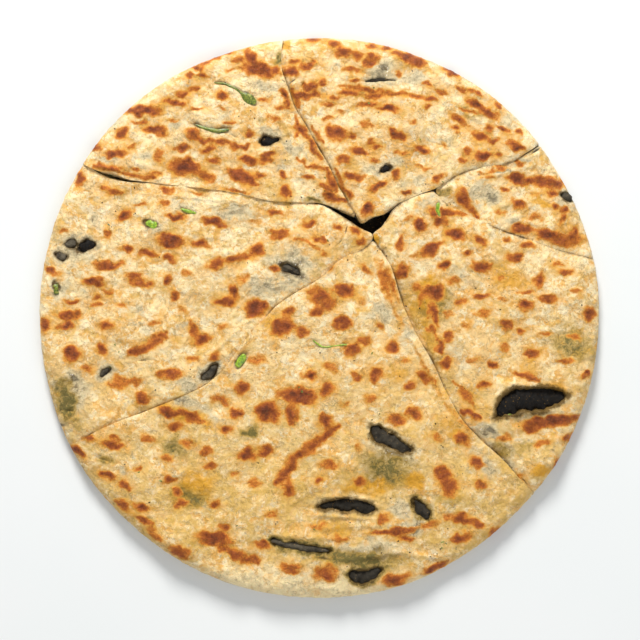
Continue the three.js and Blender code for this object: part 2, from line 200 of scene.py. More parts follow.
def wedgeOutline(wedge):
    # x, y, set-back of the top, and 1 on the rim, anticlockwise
    first, last = sideOf(wedge["from"], 1), sideOf(wedge["to"], -1)[::-1]
    firstPress, lastPress = pressed[wedge["from"]][0], pressed[wedge["to"]][1]
    start = math.atan2(first[-1, 1], first[-1, 0])
    turn = (math.atan2(last[0, 1], last[0, 0]) - start) % (2 * math.pi)
    angle = start + turn * np.linspace(0, 1, int(turn * bread["radius"] / bread["step"]))
    rim = np.stack([rimAt(angle) * np.cos(angle), rimAt(angle) * np.sin(angle), 0 * angle], 1)
    tip = evenLine([tuple(last[-1, :2])] + wedge["tip"] + [tuple(first[0, :2])], 1.0, 1)[1:-1]
    way = np.gradient(tip[:, :2], axis=0)
    tip[:, :2] += bread["tipGrow"] * np.stack([way[:, 1], -way[:, 0]], 1) / np.hypot(*way.T)[:, None]
    tip = np.hstack([tip, np.zeros((len(tip), 1))])
    line = np.vstack([first, rim, last, tip])
    onRim = np.zeros(len(line))
    onRim[len(first):len(first) + len(rim)] = 1
    press = np.full(len(line), bread["tipPress"])
    press[:len(first)] = firstPress
    press[len(first) + len(rim):len(first) + len(rim) + len(last)] = lastPress
    press *= 1 + 0.7 * softNoise(line[:, 0], line[:, 1], 8, 91)
    return np.hstack([line, onRim[:, None], press[:, None]])


def nearest(places, x, y):
    # which of the places is nearest to each point, and how far off it is
    tree = kdtree.KDTree(len(places))
    for i, (px, py) in enumerate(places):
        tree.insert((px, py, 0), i)
    tree.balance()
    found = [tree.find((a, b, 0)) for a, b in zip(np.atleast_1d(x), np.atleast_1d(y))]
    return np.array([f[1] for f in found]), np.array([f[2] for f in found])


def fallAt(distance, reach, drop):
    # the round fall of the skin towards an edge
    t = np.clip(1 - distance / reach, 0, 1)
    return drop * (1 - np.sqrt(1 - 0.96 * t * t))


def skinHeight(wedge, x, y, cutAway, press):
    # height of the smooth upper skin, cutAway being the distance to the nearest cut
    out = np.hypot(x, y)
    z = bread["middleThick"] + wedge["lift"] - bread["rimFall"] * (out / bread["radius"]) ** 4
    for u, v, start, height in sheetWaves:
        z = z + height * np.sin(2 * math.pi * (u * x + v * y) + start)
    for cx, cy, reach, height in wedge["swells"]:
        z = z + height * np.exp(-((x - cx) ** 2 + (y - cy) ** 2) / reach ** 2)
    z = z - bread["cutDrop"] * press * np.clip(1 - cutAway / bread["cutReach"], 0, 1) ** 2
    return z - fallAt(rimAt(np.arctan2(y, x)) - out, bread["rimReach"], bread["rimDrop"])


def easeDown(z):
    # keeps the highest swellings within the bread's thickness
    return z - bread["ease"] * np.maximum(0, z - bread["easeFrom"])


def alongLine(x, y, points):
    # distance to a bent line, and how far along it from 0 to 1
    p = np.array(points, float)[:, :2]
    lengths = np.hypot(*np.diff(p, axis=0).T)
    whole, gone = lengths.sum(), 0
    best, share = np.full(x.shape, 1e9), np.zeros(x.shape)
    for (ax, ay), (bx, by), length in zip(p[:-1], p[1:], lengths):
        t = np.clip(((x - ax) * (bx - ax) + (y - ay) * (by - ay)) / length ** 2, 0, 1)
        away = np.hypot(x - ax - t * (bx - ax), y - ay - t * (by - ay))
        closer = away < best
        best = np.where(closer, away, best)
        share = np.where(closer, (gone + t * length) / whole, share)
        gone += length
    return best, share


def meshObject(name, corners, faces, scale=mm):
    # corners are in mm unless a scale is given
    mesh = bpy.data.meshes.new(name)
    mesh.from_pydata([tuple(float(c) * scale for c in p) for p in corners], [], faces)
    mesh.validate()
    thing = bpy.data.objects.new(name, mesh)
    bpy.context.scene.collection.objects.link(thing)
    return thing


def places(thing):
    # where the mesh's points are, in mm
    flat = np.empty(len(thing.data.vertices) * 3)
    thing.data.vertices.foreach_get("co", flat)
    return flat.reshape(-1, 3) / mm


def setPlaces(thing, co):
    thing.data.vertices.foreach_set("co", (co * mm).ravel())
    thing.data.update()


def paint(thing, name, values, domain="POINT", kind="FLOAT"):
    # one value for each point or face, for the materials and node trees to read
    old = thing.data.attributes.get(name)
    if old:
        thing.data.attributes.remove(old)
    layer = thing.data.attributes.new(name, kind, domain)
    layer.data.foreach_set("value", np.asarray(values))


def bake(thing):
    # the modifiers' result as a plain mesh
    shape = bpy.data.meshes.new_from_object(thing.evaluated_get(bpy.context.evaluated_depsgraph_get()))
    thing.modifiers.clear()
    old = thing.data
    thing.data = shape
    bpy.data.meshes.remove(old)
    shape.name = thing.name
    return thing


def finish(thing, slot, *nodes):
    # smooth shading, and which pieces of the frame it stands for
    for face in thing.data.polygons:
        face.use_smooth = len(face.vertices) < manyCorners
    thing.data.set_sharp_from_angle(angle=math.radians(55))
    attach(thing, "root")
    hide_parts(*nodes)


def toLinear(code):
    # a web colour as the shaders want it
    parts = [int(code[i:i + 2], 16) / 255 for i in (1, 3, 5)]
    return tuple(p / 12.92 if p < 0.04045 else ((p + 0.055) / 1.055) ** 2.4 for p in parts) + (1.0,)


class Recipe:
    # a short way of wiring one material
    def __init__(self, name):
        self.material = bpy.data.materials.new(name)
        self.material.use_nodes = True
        self.tree = self.material.node_tree
        self.shader = self.tree.nodes["Principled BSDF"]
        self.spot = self.node("ShaderNodeTexCoord").outputs["Object"]

    def node(self, kind, **settings):
        made = self.tree.nodes.new(kind)
        for key, value in settings.items():
            setattr(made, key, value)
        return made

    def feed(self, socket, value):
        if isinstance(value, bpy.types.NodeSocket):
            self.tree.links.new(value, socket)
        else:
            socket.default_value = value

    def noise(self, size, detail=3, rough=0.55, twist=0, shift=0, stretch=None):
        # size in mm
        made = self.node("ShaderNodeTexNoise")
        made.inputs["Scale"].default_value = 1 / (size * mm)
        made.inputs["Detail"].default_value = detail
        made.inputs["Roughness"].default_value = rough
        made.inputs["Distortion"].default_value = twist
        self.feed(made.inputs["Vector"], self.moved(stretch, shift))
        return made.outputs["Fac"]

    def cells(self, size, shift=0, output="Distance"):
        made = self.node("ShaderNodeTexVoronoi", feature="F1")
        made.inputs["Scale"].default_value = 1 / (size * mm)
        self.feed(made.inputs["Vector"], self.moved(None, shift))
        return made.outputs[output]

    def moved(self, stretch, shift):
        if stretch is None and not shift:
            return self.spot
        made = self.node("ShaderNodeMapping")
        made.inputs["Scale"].default_value = stretch or (1, 1, 1)
        made.inputs["Location"].default_value = (shift, shift * 0.7, 0)
        self.feed(made.inputs["Vector"], self.spot)
        return made.outputs["Vector"]

    def layer(self, name):
        return self.node("ShaderNodeAttribute", attribute_name=name).outputs["Fac"]

    def mottled(self, layer, grain, low, high, least, most):
        # a painted layer broken up by grain
        return self.times(self.layer(layer), self.ramp(grain, low, high, least, most))

    def ramp(self, value, low, high, toLow=0.0, toHigh=1.0):
        made = self.node("ShaderNodeMapRange", interpolation_type="SMOOTHSTEP")
        for key, v in (("Value", value), ("From Min", low), ("From Max", high)):
            self.feed(made.inputs[key], v)
        made.inputs["To Min"].default_value = toLow
        made.inputs["To Max"].default_value = toHigh
        return made.outputs["Result"]

    def times(self, a, b):
        return self.sum(a, b, "MULTIPLY")

    def sum(self, a, b, how="ADD"):
        made = self.node("ShaderNodeMath", operation=how)
        self.feed(made.inputs[0], a)
        self.feed(made.inputs[1], b)
        return made.outputs[0]

    def blend(self, share, a, b):
        made = self.node("ShaderNodeMix", data_type="RGBA", blend_type="MIX")
        self.feed(made.inputs["Factor"], share)
        self.feed(made.inputs["A"], toLinear(a) if isinstance(a, str) else a)
        self.feed(made.inputs["B"], toLinear(b) if isinstance(b, str) else b)
        return made.outputs["Result"]

    def bump(self, height, depth, strength=1.0, under=None):
        made = self.node("ShaderNodeBump")
        made.inputs["Distance"].default_value = depth * mm
        made.inputs["Strength"].default_value = strength
        self.feed(made.inputs["Height"], height)
        if under is not None:
            self.feed(made.inputs["Normal"], under)
        return made.outputs["Normal"]

    def done(self, color, roughness, normal, **fixed):
        self.feed(self.shader.inputs["Base Color"], color)
        self.feed(self.shader.inputs["Roughness"], roughness)
        self.feed(self.shader.inputs["Normal"], normal)
        for key, value in fixed.items():
            self.shader.inputs[key].default_value = value
        return self.material


# some of these colours are painted light: shade along cuts, round slices, in splits, wrinkles and pores;
# white glints; a highlighted front rim
skinColors = {
    "rimHighlight": "#FFE8B4", "glintHighlight": "#FFF9EE", "seam": "#6B4C22", "shade": "#5E4519",
    "glow": "#FFEDC2", "cream": "#FFE3AC", "honey": "#DDB052", "straw": "#E9B15C", "ash": "#BF9A5C",
    "gold": "#E2A03A", "amber": "#C8721F", "brown": "#934517", "scorch": "#5C2812", "film": "#D8C8A0",
    "murky": "#7A705A", "shadow": "#6A5530", "olive": "#B08C30", "darkOlive": "#625C2B",
    "mustard": "#DFA023", "speckAndShade": "#6E5630", "creviceShade": "#1B130B",
}


def toastedSkin():
    r = Recipe("toasted dough skin")
    c = skinColors
    broad, patchy = r.noise(24, 3), r.noise(7, 6, 0.7, 0.6)
    small, fine = r.noise(2.3, 5, 0.72, 0.6, 0.4), r.noise(0.85, 4, 0.75)
    tone = r.sum(r.times(patchy, 0.6), r.times(small, 0.4))
    dough = r.blend(r.ramp(tone, 0.42, 0.53), c["straw"], c["cream"])
    dough = r.blend(r.ramp(broad, 0.45, 0.62, 0, 0.4), dough, c["straw"])
    dough = r.blend(r.ramp(r.noise(5, 5, 0.68, 0.4, 0.77), 0.5, 0.6, 0, 0.85), dough, c["glow"])
    dough = r.blend(r.ramp(r.noise(5.5, 6, 0.75, 1.2, 0.21), 0.54, 0.66, 0, 0.6), dough, c["ash"])
    dough = r.blend(r.ramp(r.noise(2.6, 5, 0.75, 0.8, 0.28), 0.58, 0.74, 0, 0.45), dough, c["ash"])
    # golden clouds here and there
    clouds = r.ramp(r.noise(10, 5, 0.7, 1.0, 0.31), 0.5, 0.64, 0, 0.6)
    dough = r.blend(clouds, dough, c["honey"])
    # painted shade: the front of the bread a little darker and more golden
    along = r.node("ShaderNodeSeparateXYZ")
    r.feed(along.inputs["Vector"], r.spot)
    frontShade = r.times(r.ramp(along.outputs["Y"], 0.03, -0.1), r.ramp(along.outputs["Y"], -0.125, -0.107))
    frontShade = r.times(frontShade, r.ramp(patchy, 0.42, 0.6, 0.05, 0.85))
    dough = r.blend(frontShade, dough, c["honey"])
    # painted highlight: the front rim lightened
    rimGlare = r.times(r.ramp(along.outputs["Y"], -0.113, -0.122), r.ramp(patchy, 0.3, 0.6, 0.35, 0.85))
    dough = r.blend(rimGlare, dough, c["rimHighlight"])
    # golden haze round the heat marks
    haze = r.mottled("haze", small, 0.3, 0.66, 0.35, 1.25)
    dough = r.blend(r.ramp(haze, 0.06, 0.85, 0, 0.8), dough, c["gold"])
    # translucent places, where the filling shines through
    murk = r.ramp(r.noise(8, 5, 0.7, 0.5, 0.57), 0.57, 0.72, 0, 0.55)
    film = r.sum(r.mottled("film", patchy, 0.3, 0.7, 0.6, 1.3), murk, "MAXIMUM")
    dough = r.blend(r.ramp(film, 0.03, 0.6, 0, 0.8), dough, c["film"])
    dough = r.blend(r.ramp(film, 0.6, 1.2, 0, 0.85), dough, c["murky"])
    dark = r.times(r.times(film, r.ramp(small, 0.5, 0.62)), 0.75)
    dough = r.blend(dark, dough, c["shadow"])
    # painted highlights: small white glints on shiny bubbles in the thinnest film
    glintMask = r.ramp(r.cells(1.2, shift=0.5), 0.3, 0.16)
    glintMask = r.times(glintMask, r.ramp(r.noise(4, 2, shift=0.35), 0.52, 0.6))
    glintMask = r.times(glintMask, r.ramp(r.layer("film"), 0.55, 0.85))
    dough = r.blend(r.times(glintMask, 0.85), dough, c["glintHighlight"])
    # stains where herbs and oil have soaked through
    olive = r.mottled("olive", small, 0.3, 0.7, 0.5, 1.35)
    dough = r.blend(r.ramp(olive, 0.03, 0.7, 0, 0.8), dough, c["olive"])
    dough = r.blend(r.ramp(olive, 0.55, 1.15, 0, 0.85), dough, c["darkOlive"])
    mustard = r.mottled("mustard", small, 0.3, 0.7, 0.6, 1.35)
    dough = r.blend(r.ramp(mustard, 0.03, 0.62, 0, 0.9), dough, c["mustard"])
    # heat marks: amber edge, brown, scorched heart; a vertex value broken up by grain
    toast = r.layer("toast")
    grain = r.times(r.sum(r.sum(fine, small, "ADD"), 1.0, "SUBTRACT"), 0.75)
    heat = r.sum(toast, r.times(grain, r.ramp(toast, 0, 0.5)))
    dough = r.blend(r.ramp(heat, 0.06, 0.34, 0, 0.85), dough, c["gold"])
    dough = r.blend(r.ramp(heat, 0.24, 0.5, 0, 0.92), dough, c["amber"])
    dough = r.blend(r.ramp(heat, 0.44, 0.84, 0, 0.93), dough, c["brown"])
    dough = r.blend(r.ramp(heat, 0.78, 1.16, 0, 0.88), dough, c["scorch"])
    # painted shade in the wrinkles and pores, and tiny dark specks of filling under the skin
    bend = r.sum(r.sum(r.noise(3.4, 3, 0.55, 1.4, 0.63), 0.5, "SUBTRACT"), 0, "ABSOLUTE")
    some = r.ramp(r.noise(6, 3, 0.6, 0, 0.9), 0.46, 0.58)
    wrinkle = r.times(r.ramp(bend, 0.026, 0.002), some)
    dough = r.blend(r.times(wrinkle, 0.36), dough, c["speckAndShade"])
    pores = r.ramp(r.cells(1.3, shift=0.2), 0.2, 0.05)
    dough = r.blend(r.times(r.times(pores, some), 0.45), dough, c["speckAndShade"])
    dough = r.blend(r.ramp(r.noise(0.75, 3, 0.6, 0.8, 0.5), 0.6, 0.74, 0, 0.5), dough, c["speckAndShade"])
    dough = r.blend(r.ramp(r.noise(1.5, 4, 0.7, 1.5, 0.15), 0.66, 0.78, 0, 0.6), dough, c["shadow"])
    # painted shade along the cuts, around the slices and in the splits
    seam = r.mottled("seam", small, 0.3, 0.7, 0.4, 1.3)
    dough = r.blend(r.ramp(seam, 0.05, 0.9, 0, 0.8), dough, c["seam"])
    shade = r.mottled("shade", small, 0.35, 0.62, 0.55, 1.3)
    dough = r.blend(r.ramp(shade, 0.03, 0.8, 0, 0.88), dough, c["shade"])
    dough = r.blend(r.ramp(r.layer("creviceShade"), 0.2, 0.9, 0, 0.92), dough, c["creviceShade"])
    # shiny where it is oily, and rough in three sizes
    oil = r.noise(13, 3, 0.6, 0, 0.11)
    roughness = r.ramp(oil, 0.35, 0.7, 0.36, 0.6)
    rough = r.bump(fine, 0.35, 0.8)
    rough = r.bump(small, 1.7, 0.8, rough)
    rough = r.bump(r.times(r.sum(wrinkle, pores), -1.0), 0.25, 0.7, rough)
    return r.done(dough, roughness, rough, **{"Specular IOR Level": 0.3, "Subsurface Weight": 0.08,
                  "Subsurface Scale": 0.0012, "Subsurface Radius": (1.0, 0.6, 0.3)})


def cutCrumb():
    r = Recipe("cut face")
    grain = r.noise(1.6, 4, 0.65)
    layers = r.noise(2.4, 4, 0.6, 0.8, stretch=(0.35, 0.35, 1.6))
    color = r.blend(r.ramp(grain, 0.35, 0.7), "#EBD3A2", "#C9A66C")
    color = r.blend(r.ramp(layers, 0.5, 0.7, 0, 0.75), color, "#9B8F66")
    bits = r.cells(2.6, shift=0.4, output="Color")
    split = r.node("ShaderNodeSeparateColor")
    r.feed(split.inputs["Color"], bits)
    deep = r.layer("inside")
    green = r.times(r.ramp(split.outputs["Red"], 0.8, 0.84), deep)
    black = r.times(r.ramp(split.outputs["Green"], 0.8, 0.84), deep)
    color = r.blend(r.times(green, 0.85), color, "#667A34")
    color = r.blend(r.times(black, 0.9), color, "#2B241C")
    # painted shade in the small holes of the crumb
    holes = r.ramp(r.cells(1.5, shift=0.7), 0.3, 0.05)
    color = r.blend(r.times(holes, 0.5), color, "#7A5A34")
    rough = r.bump(r.sum(grain, r.times(holes, 1.2), "SUBTRACT"), 0.5, 0.8)
    return r.done(color, r.ramp(grain, 0.3, 0.7, 0.45, 0.75), rough,
                  **{"Subsurface Weight": 0.1, "Subsurface Scale": 0.002})


def toastedUnderside():
    r = Recipe("toasted underside")
    broad, fine = r.noise(18, 4), r.noise(1.2, 4, 0.7)
    color = r.blend(r.ramp(broad, 0.35, 0.65), "#F0DAB0", "#E2BE84")
    heat = r.sum(r.noise(8.5, 5, 0.62, 0.9, 1.7), r.times(r.sum(fine, 0.5, "SUBTRACT"), 0.22))
    color = r.blend(r.ramp(heat, 0.5, 0.6, 0, 0.8), color, "#D98C45")
    color = r.blend(r.ramp(heat, 0.57, 0.66, 0, 0.95), color, "#9C5128")
    color = r.blend(r.ramp(heat, 0.66, 0.76, 0, 0.9), color, "#5E2C1B")
    specks = r.ramp(r.cells(1.9, shift=0.6), 0.16, 0.05, 0, 0.5)
    color = r.blend(specks, color, "#6A5A45")
    rough = r.bump(r.noise(3, 4, 0.6, 0.5), 0.6, 0.6, r.bump(fine, 0.15, 0.6))
    return r.done(color, r.ramp(fine, 0.3, 0.7, 0.45, 0.7), rough, **{"Specular IOR Level": 0.35})


def woodEar():
    r = Recipe("wood ear mushroom")
    ripple, fine = r.noise(2.6, 5, 0.7, 1.2), r.noise(0.7, 4, 0.7)
    color = r.blend(r.ramp(ripple, 0.42, 0.64), "#080604", "#1D160E")
    color = r.blend(r.ramp(fine, 0.58, 0.78, 0, 0.5), color, "#4A3A22")
    # golden dots, partly crumbs stuck to the slice and partly painted glints
    crumbsAndGlints = r.times(r.ramp(r.cells(1.1, shift=0.3), 0.24, 0.1), r.ramp(ripple, 0.5, 0.6))
    color = r.blend(r.times(crumbsAndGlints, 0.75), color, "#B98C3C")
    veil = r.layer("veil")
    color = r.blend(r.times(veil, r.ramp(fine, 0.3, 0.7, 0.7, 1)), color, "#9C9078")
    rough = r.bump(fine, 0.4, 0.9, r.bump(ripple, 1.6, 0.9))
    return r.done(color, r.ramp(ripple, 0.3, 0.7, 0.38, 0.7), rough, **{"Specular IOR Level": 0.25})


def greenLeaf(name, light, dark):
    r = Recipe(name)
    veins = r.noise(0.8, 3, 0.6, 0.5)
    color = r.blend(r.ramp(veins, 0.35, 0.68), dark, light)
    color = r.blend(r.ramp(r.noise(3, 3), 0.52, 0.75, 0, 0.5), color, "#B7B45A")
    rough = r.bump(veins, 0.15, 0.6)
    return r.done(color, r.ramp(veins, 0.3, 0.7, 0.3, 0.5), rough,
                  **{"Subsurface Weight": 0.15, "Subsurface Scale": 0.001, "Specular IOR Level": 0.5})


def paleFloor():
    r = Recipe("studio floor")
    tone = r.blend(r.ramp(r.noise(90, 2), 0.3, 0.7), "#E2E4E4", "#E0E3E3")
    return r.done(tone, 0.9, r.bump(r.noise(4, 2), 0.02, 0.1), **{"Specular IOR Level": 0.1})


skinMaterial, cutMaterial, undersideMaterial = toastedSkin(), cutCrumb(), toastedUnderside()
mushroomMaterial = woodEar()
chiveMaterial = greenLeaf("bright chive", "#A9C23A", "#648E22")
leafMaterial = greenLeaf("cooked herb leaf", "#8C9234", "#39501B")

floor = meshObject("floor", [(-1, -1, 0), (1, -1, 0), (1, 1, 0), (-1, 1, 0)], [(0, 1, 2, 3)], 2.0)
floor.data.materials.append(paleFloor())
print("studio ready")


class NodeTree:
    # a short way of building one geometry node tree
    def __init__(self, name, inputs):
        self.tree = bpy.data.node_groups.new(name, "GeometryNodeTree")
        self.tree.is_modifier = True
        face = self.tree.interface
        face.new_socket("Geometry", in_out="INPUT", socket_type="NodeSocketGeometry")
        self.ids = {}
        for key, (kind, value) in inputs.items():
            socket = face.new_socket(key, in_out="INPUT", socket_type="NodeSocket" + kind)
            if value is not None:
                socket.default_value = value
            self.ids[key] = socket.identifier
        face.new_socket("Geometry", in_out="OUTPUT", socket_type="NodeSocketGeometry")
        self.given = self.tree.nodes.new("NodeGroupInput").outputs
        self.out = self.tree.nodes.new("NodeGroupOutput").inputs["Geometry"]

    def node(self, kind, links=(), **settings):
        made = self.tree.nodes.new(kind)
        for key, value in settings.items():
            setattr(made, key, value)
        for key, value in dict(links).items():
            if isinstance(value, bpy.types.NodeSocket):
                self.tree.links.new(value, made.inputs[key])
            else:
                made.inputs[key].default_value = value
        return made

    def math(self, how, a, b):
        return self.node("ShaderNodeMath", {0: a, 1: b}, operation=how).outputs[0]

    def named(self, name, kind="FLOAT"):
        layer = self.node("GeometryNodeInputNamedAttribute", {"Name": name}, data_type=kind)
        return layer.outputs["Attribute"]

    def end(self, geometry, materials):
        geometry = self.node("GeometryNodeRealizeInstances", {"Geometry": geometry}).outputs[0]
        for material, where in materials:
            links = {"Geometry": geometry, "Material": material}
            if where is not None:
                links["Selection"] = where
            geometry = self.node("GeometryNodeSetMaterial", links).outputs[0]
        self.tree.links.new(geometry, self.out)
        return self

    def putOn(self, thing, **values):
        modifier = thing.modifiers.new(self.tree.name, "NODES")
        modifier.node_group = self.tree
        for key, value in values.items():
            modifier[self.ids[key]] = value
        return modifier


def crustTree():
    # lifts the skin in small blisters and roughens the cut faces, then gives each face its finish
    t = NodeTree("crust", {
        "blisterSize": ("Float", 0.004), "blisterHeight": ("Float", 0.0003),
        "crumbSize": ("Float", 0.0018), "crumbDepth": ("Float", 0.0005), "shift": ("Float", 0.0),
        "skin": ("Material", None), "cutFace": ("Material", None), "underside": ("Material", None)})
    spot = t.node("GeometryNodeInputPosition").outputs[0]
    moved = t.node("ShaderNodeVectorMath", {0: spot, 1: t.node(
        "ShaderNodeCombineXYZ", {"X": t.given["shift"], "Y": t.given["shift"]}).outputs[0]}).outputs[0]

    def hills(size, detail):
        made = t.node("ShaderNodeTexNoise", {
            "Vector": moved, "Scale": t.math("DIVIDE", 1.0, t.given[size]),
            "Detail": detail, "Roughness": 0.6})
        return t.math("SUBTRACT", made.outputs["Fac"], 0.5)
    blister = t.math("MULTIPLY", hills("blisterSize", 3.0), t.given["blisterHeight"])
    crumb = t.math("MULTIPLY", hills("crumbSize", 2.0), t.given["crumbDepth"])
    blister = t.math("MULTIPLY", blister, t.named("top"))
    crumb = t.math("MULTIPLY", crumb, t.named("inside"))
    amount = t.math("ADD", blister, crumb)
    push = t.node("ShaderNodeVectorMath", {0: t.node("GeometryNodeInputNormal").outputs[0], "Scale": amount},
                  operation="SCALE").outputs[0]
    moved = t.node("GeometryNodeSetPosition", {"Geometry": t.given["Geometry"], "Offset": push}).outputs[0]
    return t.end(moved, [
        (t.given["skin"], None), (t.given["cutFace"], t.named("cutFaces", "BOOLEAN")),
        (t.given["underside"], t.named("underFaces", "BOOLEAN"))])


def bitsTree():
    # scatters small bits of chopped filling over the faces where a mask is above nought
    t = NodeTree("bits of filling", {
        "bitsPerSquareMetre": ("Float", 20000.0), "smallest": ("Float", 0.0002), "largest": ("Float", 0.0008),
        "flatness": ("Float", 0.3), "length": ("Float", 1.6), "seed": ("Int", 3), "mask": ("String", "top"),
        "finish": ("Material", None)})
    mask = t.node("GeometryNodeInputNamedAttribute", {"Name": t.given["mask"]}, data_type="FLOAT")
    density = t.math("MULTIPLY", mask.outputs["Attribute"], t.given["bitsPerSquareMetre"])
    spread = t.node("GeometryNodeDistributePointsOnFaces", {
        "Mesh": t.given["Geometry"], "Density": density, "Seed": t.given["seed"]})
    bit = t.node("GeometryNodeMeshIcoSphere", {"Radius": 1.0, "Subdivisions": 1}).outputs["Mesh"]
    bit = t.node("GeometryNodeTransform", {"Geometry": bit, "Scale": t.node("ShaderNodeCombineXYZ", {
        "X": t.given["length"], "Y": 1.0, "Z": t.given["flatness"]}).outputs[0]}).outputs[0]
    size = t.node("FunctionNodeRandomValue", {
        "Min": t.given["smallest"], "Max": t.given["largest"], "Seed": t.given["seed"]}, data_type="FLOAT")
    sockets = [s for s in size.outputs if s.enabled]
    placed = t.node("GeometryNodeInstanceOnPoints", {
        "Points": spread.outputs["Points"], "Instance": bit, "Rotation": spread.outputs["Rotation"],
        "Scale": sockets[0]}).outputs[0]
    turn = t.node("FunctionNodeRandomValue", {
        "Min": (0, 0, 0), "Max": (0.5, 0.5, 6.283), "Seed": t.given["seed"]}, data_type="FLOAT_VECTOR")
    placed = t.node("GeometryNodeRotateInstances", {
        "Instances": placed, "Rotation": [s for s in turn.outputs if s.enabled][0]}).outputs[0]
    return t.end(placed, [(t.given["finish"], None)])


def frillTree():
    # crumples a thin slice of filling
    t = NodeTree("frill", {
        "size": ("Float", 0.002), "depth": ("Float", 0.0004), "finish": ("Material", None)})
    noise = t.node("ShaderNodeTexNoise", {
        "Vector": t.node("GeometryNodeInputPosition").outputs[0],
        "Scale": t.math("DIVIDE", 1.0, t.given["size"]), "Detail": 3.0})
    amount = t.math("MULTIPLY", t.math("SUBTRACT", noise.outputs["Fac"], 0.5), t.given["depth"])
    push = t.node("ShaderNodeVectorMath", {0: t.node("GeometryNodeInputNormal").outputs[0], "Scale": amount},
                  operation="SCALE").outputs[0]
    moved = t.node("GeometryNodeSetPosition", {"Geometry": t.given["Geometry"], "Offset": push}).outputs[0]
    return t.end(moved, [(t.given["finish"], None)])


crust, bits, frill = crustTree(), bitsTree(), frillTree()
print("node trees ready")


def pressSlab(name, outline, grid=bread["grid"]):
    # a flat slab of the wedge's outline, remade as an even grid
    slab = bmesh.new()
    ring = [slab.verts.new((x * mm, y * mm, 0)) for x, y in outline[:, :2]]
    grown = bmesh.ops.extrude_face_region(slab, geom=[slab.faces.new(ring)])["geom"]
    for v in grown:
        if isinstance(v, bmesh.types.BMVert):
            v.co.z = bread["slab"] * mm
    bmesh.ops.recalc_face_normals(slab, faces=slab.faces)
    mesh = bpy.data.meshes.new(name)
    slab.to_mesh(mesh)
    slab.free()
    thing = bpy.data.objects.new(name, mesh)
    bpy.context.scene.collection.objects.link(thing)
    even = thing.modifiers.new("even grid", "REMESH")
    even.mode = "VOXEL"
    even.voxel_size = grid * mm
    return bake(thing)


def closeUnderside(thing):
    # the flat underside becomes one face
    shape = bmesh.new()
    shape.from_mesh(thing.data)
    flat = [f for f in shape.faces if all(v.co.z < 0.02 * mm for v in f.verts)]
    bmesh.ops.delete(shape, geom=flat, context="FACES")
    openEdges = [e for e in shape.edges if e.is_boundary]
    bmesh.ops.edgeloop_fill(shape, edges=openEdges)
    bmesh.ops.recalc_face_normals(shape, faces=shape.faces)
    shape.faces.index_update()
    under = {f.index for f in shape.faces if len(f.verts) > manyCorners}
    shape.to_mesh(thing.data)
    shape.free()
    return under


# how the marks and stains spread, in mm
spread = {
    "haze": 4.2, "streakHaze": 4,  # golden haze round a mark
    "spotGrow": 0.3, "streakGrow": 0.2,  # marks are drawn this much larger
    "soft": 0.72,  # how fast a mark fades outwards
}


def heatField(x, y, spots, streaks, seed):
    # how scorched the skin is, from every mark that the pan left, and the golden haze round the marks
    wx = x + 1.2 * softNoise(x, y, 3.4, seed) + 0.5 * softNoise(x, y, 1.5, seed + 1)
    wy = y + 1.2 * softNoise(x, y, 3.4, seed + 2) + 0.5 * softNoise(x, y, 1.5, seed + 3)
    cool, clear = np.ones(x.shape), np.ones(x.shape)
    for sx, sy, wide, high, turn, heat in spots:
        near = np.abs(x - sx) + np.abs(y - sy) < 2.4 * (wide + high) + 6  # further off it has no effect
        c, s = math.cos(math.radians(turn)), math.sin(math.radians(turn))
        dx, dy = wx[near] - sx, wy[near] - sy
        size = math.sqrt(wide * high)
        grow = spread["spotGrow"]
        r = np.hypot((dx * c + dy * s) / (wide / 2 + grow), (dy * c - dx * s) / (high / 2 + grow))
        crisp = 2.5 + 0.22 * max(0, size - 3.5)  # large marks have a crisper edge
        cool[near] *= 1 - min(1, 1.12 * heat) * np.exp(-spread["soft"] * r ** crisp)
        clear[near] *= 1 - 0.6 * heat * rise(spread["haze"], 0, (r - 1) * size / 2)
    for ax, ay, bx, by, wide, heat in streaks:
        away, share = alongLine(wx, wy, [(ax, ay), (bx, by)])
        half = (wide / 2 + spread["streakGrow"]) * (0.6 + 0.4 * np.sin(math.pi * share))
        cool *= 1 - heat * np.exp(-spread["soft"] * (away / half) ** 2)
        clear *= 1 - 0.5 * heat * rise(spread["streakHaze"], 0, away - half)
    blotchy = 0.5 + 0.5 * softNoise(x, y, 2.6, seed + 5) + 0.25 * softNoise(x, y, 1.3, seed + 6)
    return (1 - cool) * (0.72 + 0.42 * blotchy), 1 - clear


def washes(x, y, kind, patches, seed):
    # soft stained places: x, y, width, height, turn, strength
    wx = x + 2.2 * softNoise(x, y, 4.5, seed) + softNoise(x, y, 2, seed + 2)
    wy = y + 2.2 * softNoise(x, y, 4.5, seed + 1) + softNoise(x, y, 2, seed + 3)
    amount = np.zeros(x.shape)
    for which, sx, sy, wide, high, turn, strength in patches:
        if which != kind:
            continue
        c, s = math.cos(math.radians(turn)), math.sin(math.radians(turn))
        along, across = (wx - sx) * c + (wy - sy) * s, (wy - sy) * c - (wx - sx) * s
        r = np.hypot(along / (wide / 2), across / (high / 2))
        amount = np.maximum(amount, 1.35 * strength * rise(1.7, 0.1, r))
    return amount


def swellAt(piece, share, thin=1.0):
    # from thin ends to full width, fattest somewhere along the way
    share = np.clip(share, 0, 1) ** (math.log(0.5) / math.log(piece.get("fattest", 0.5)))
    point = piece["point"] * thin
    return point + (1 - point) * np.sqrt(np.clip(1 - (2 * share - 1) ** 2, 0, 1))


def widthAt(piece, share):
    # full width along a slice; a leaf may open out towards its end
    return piece["wide"] * (1 + piece.get("leafEnd", 0) * rise(0.6, 0.8, share))


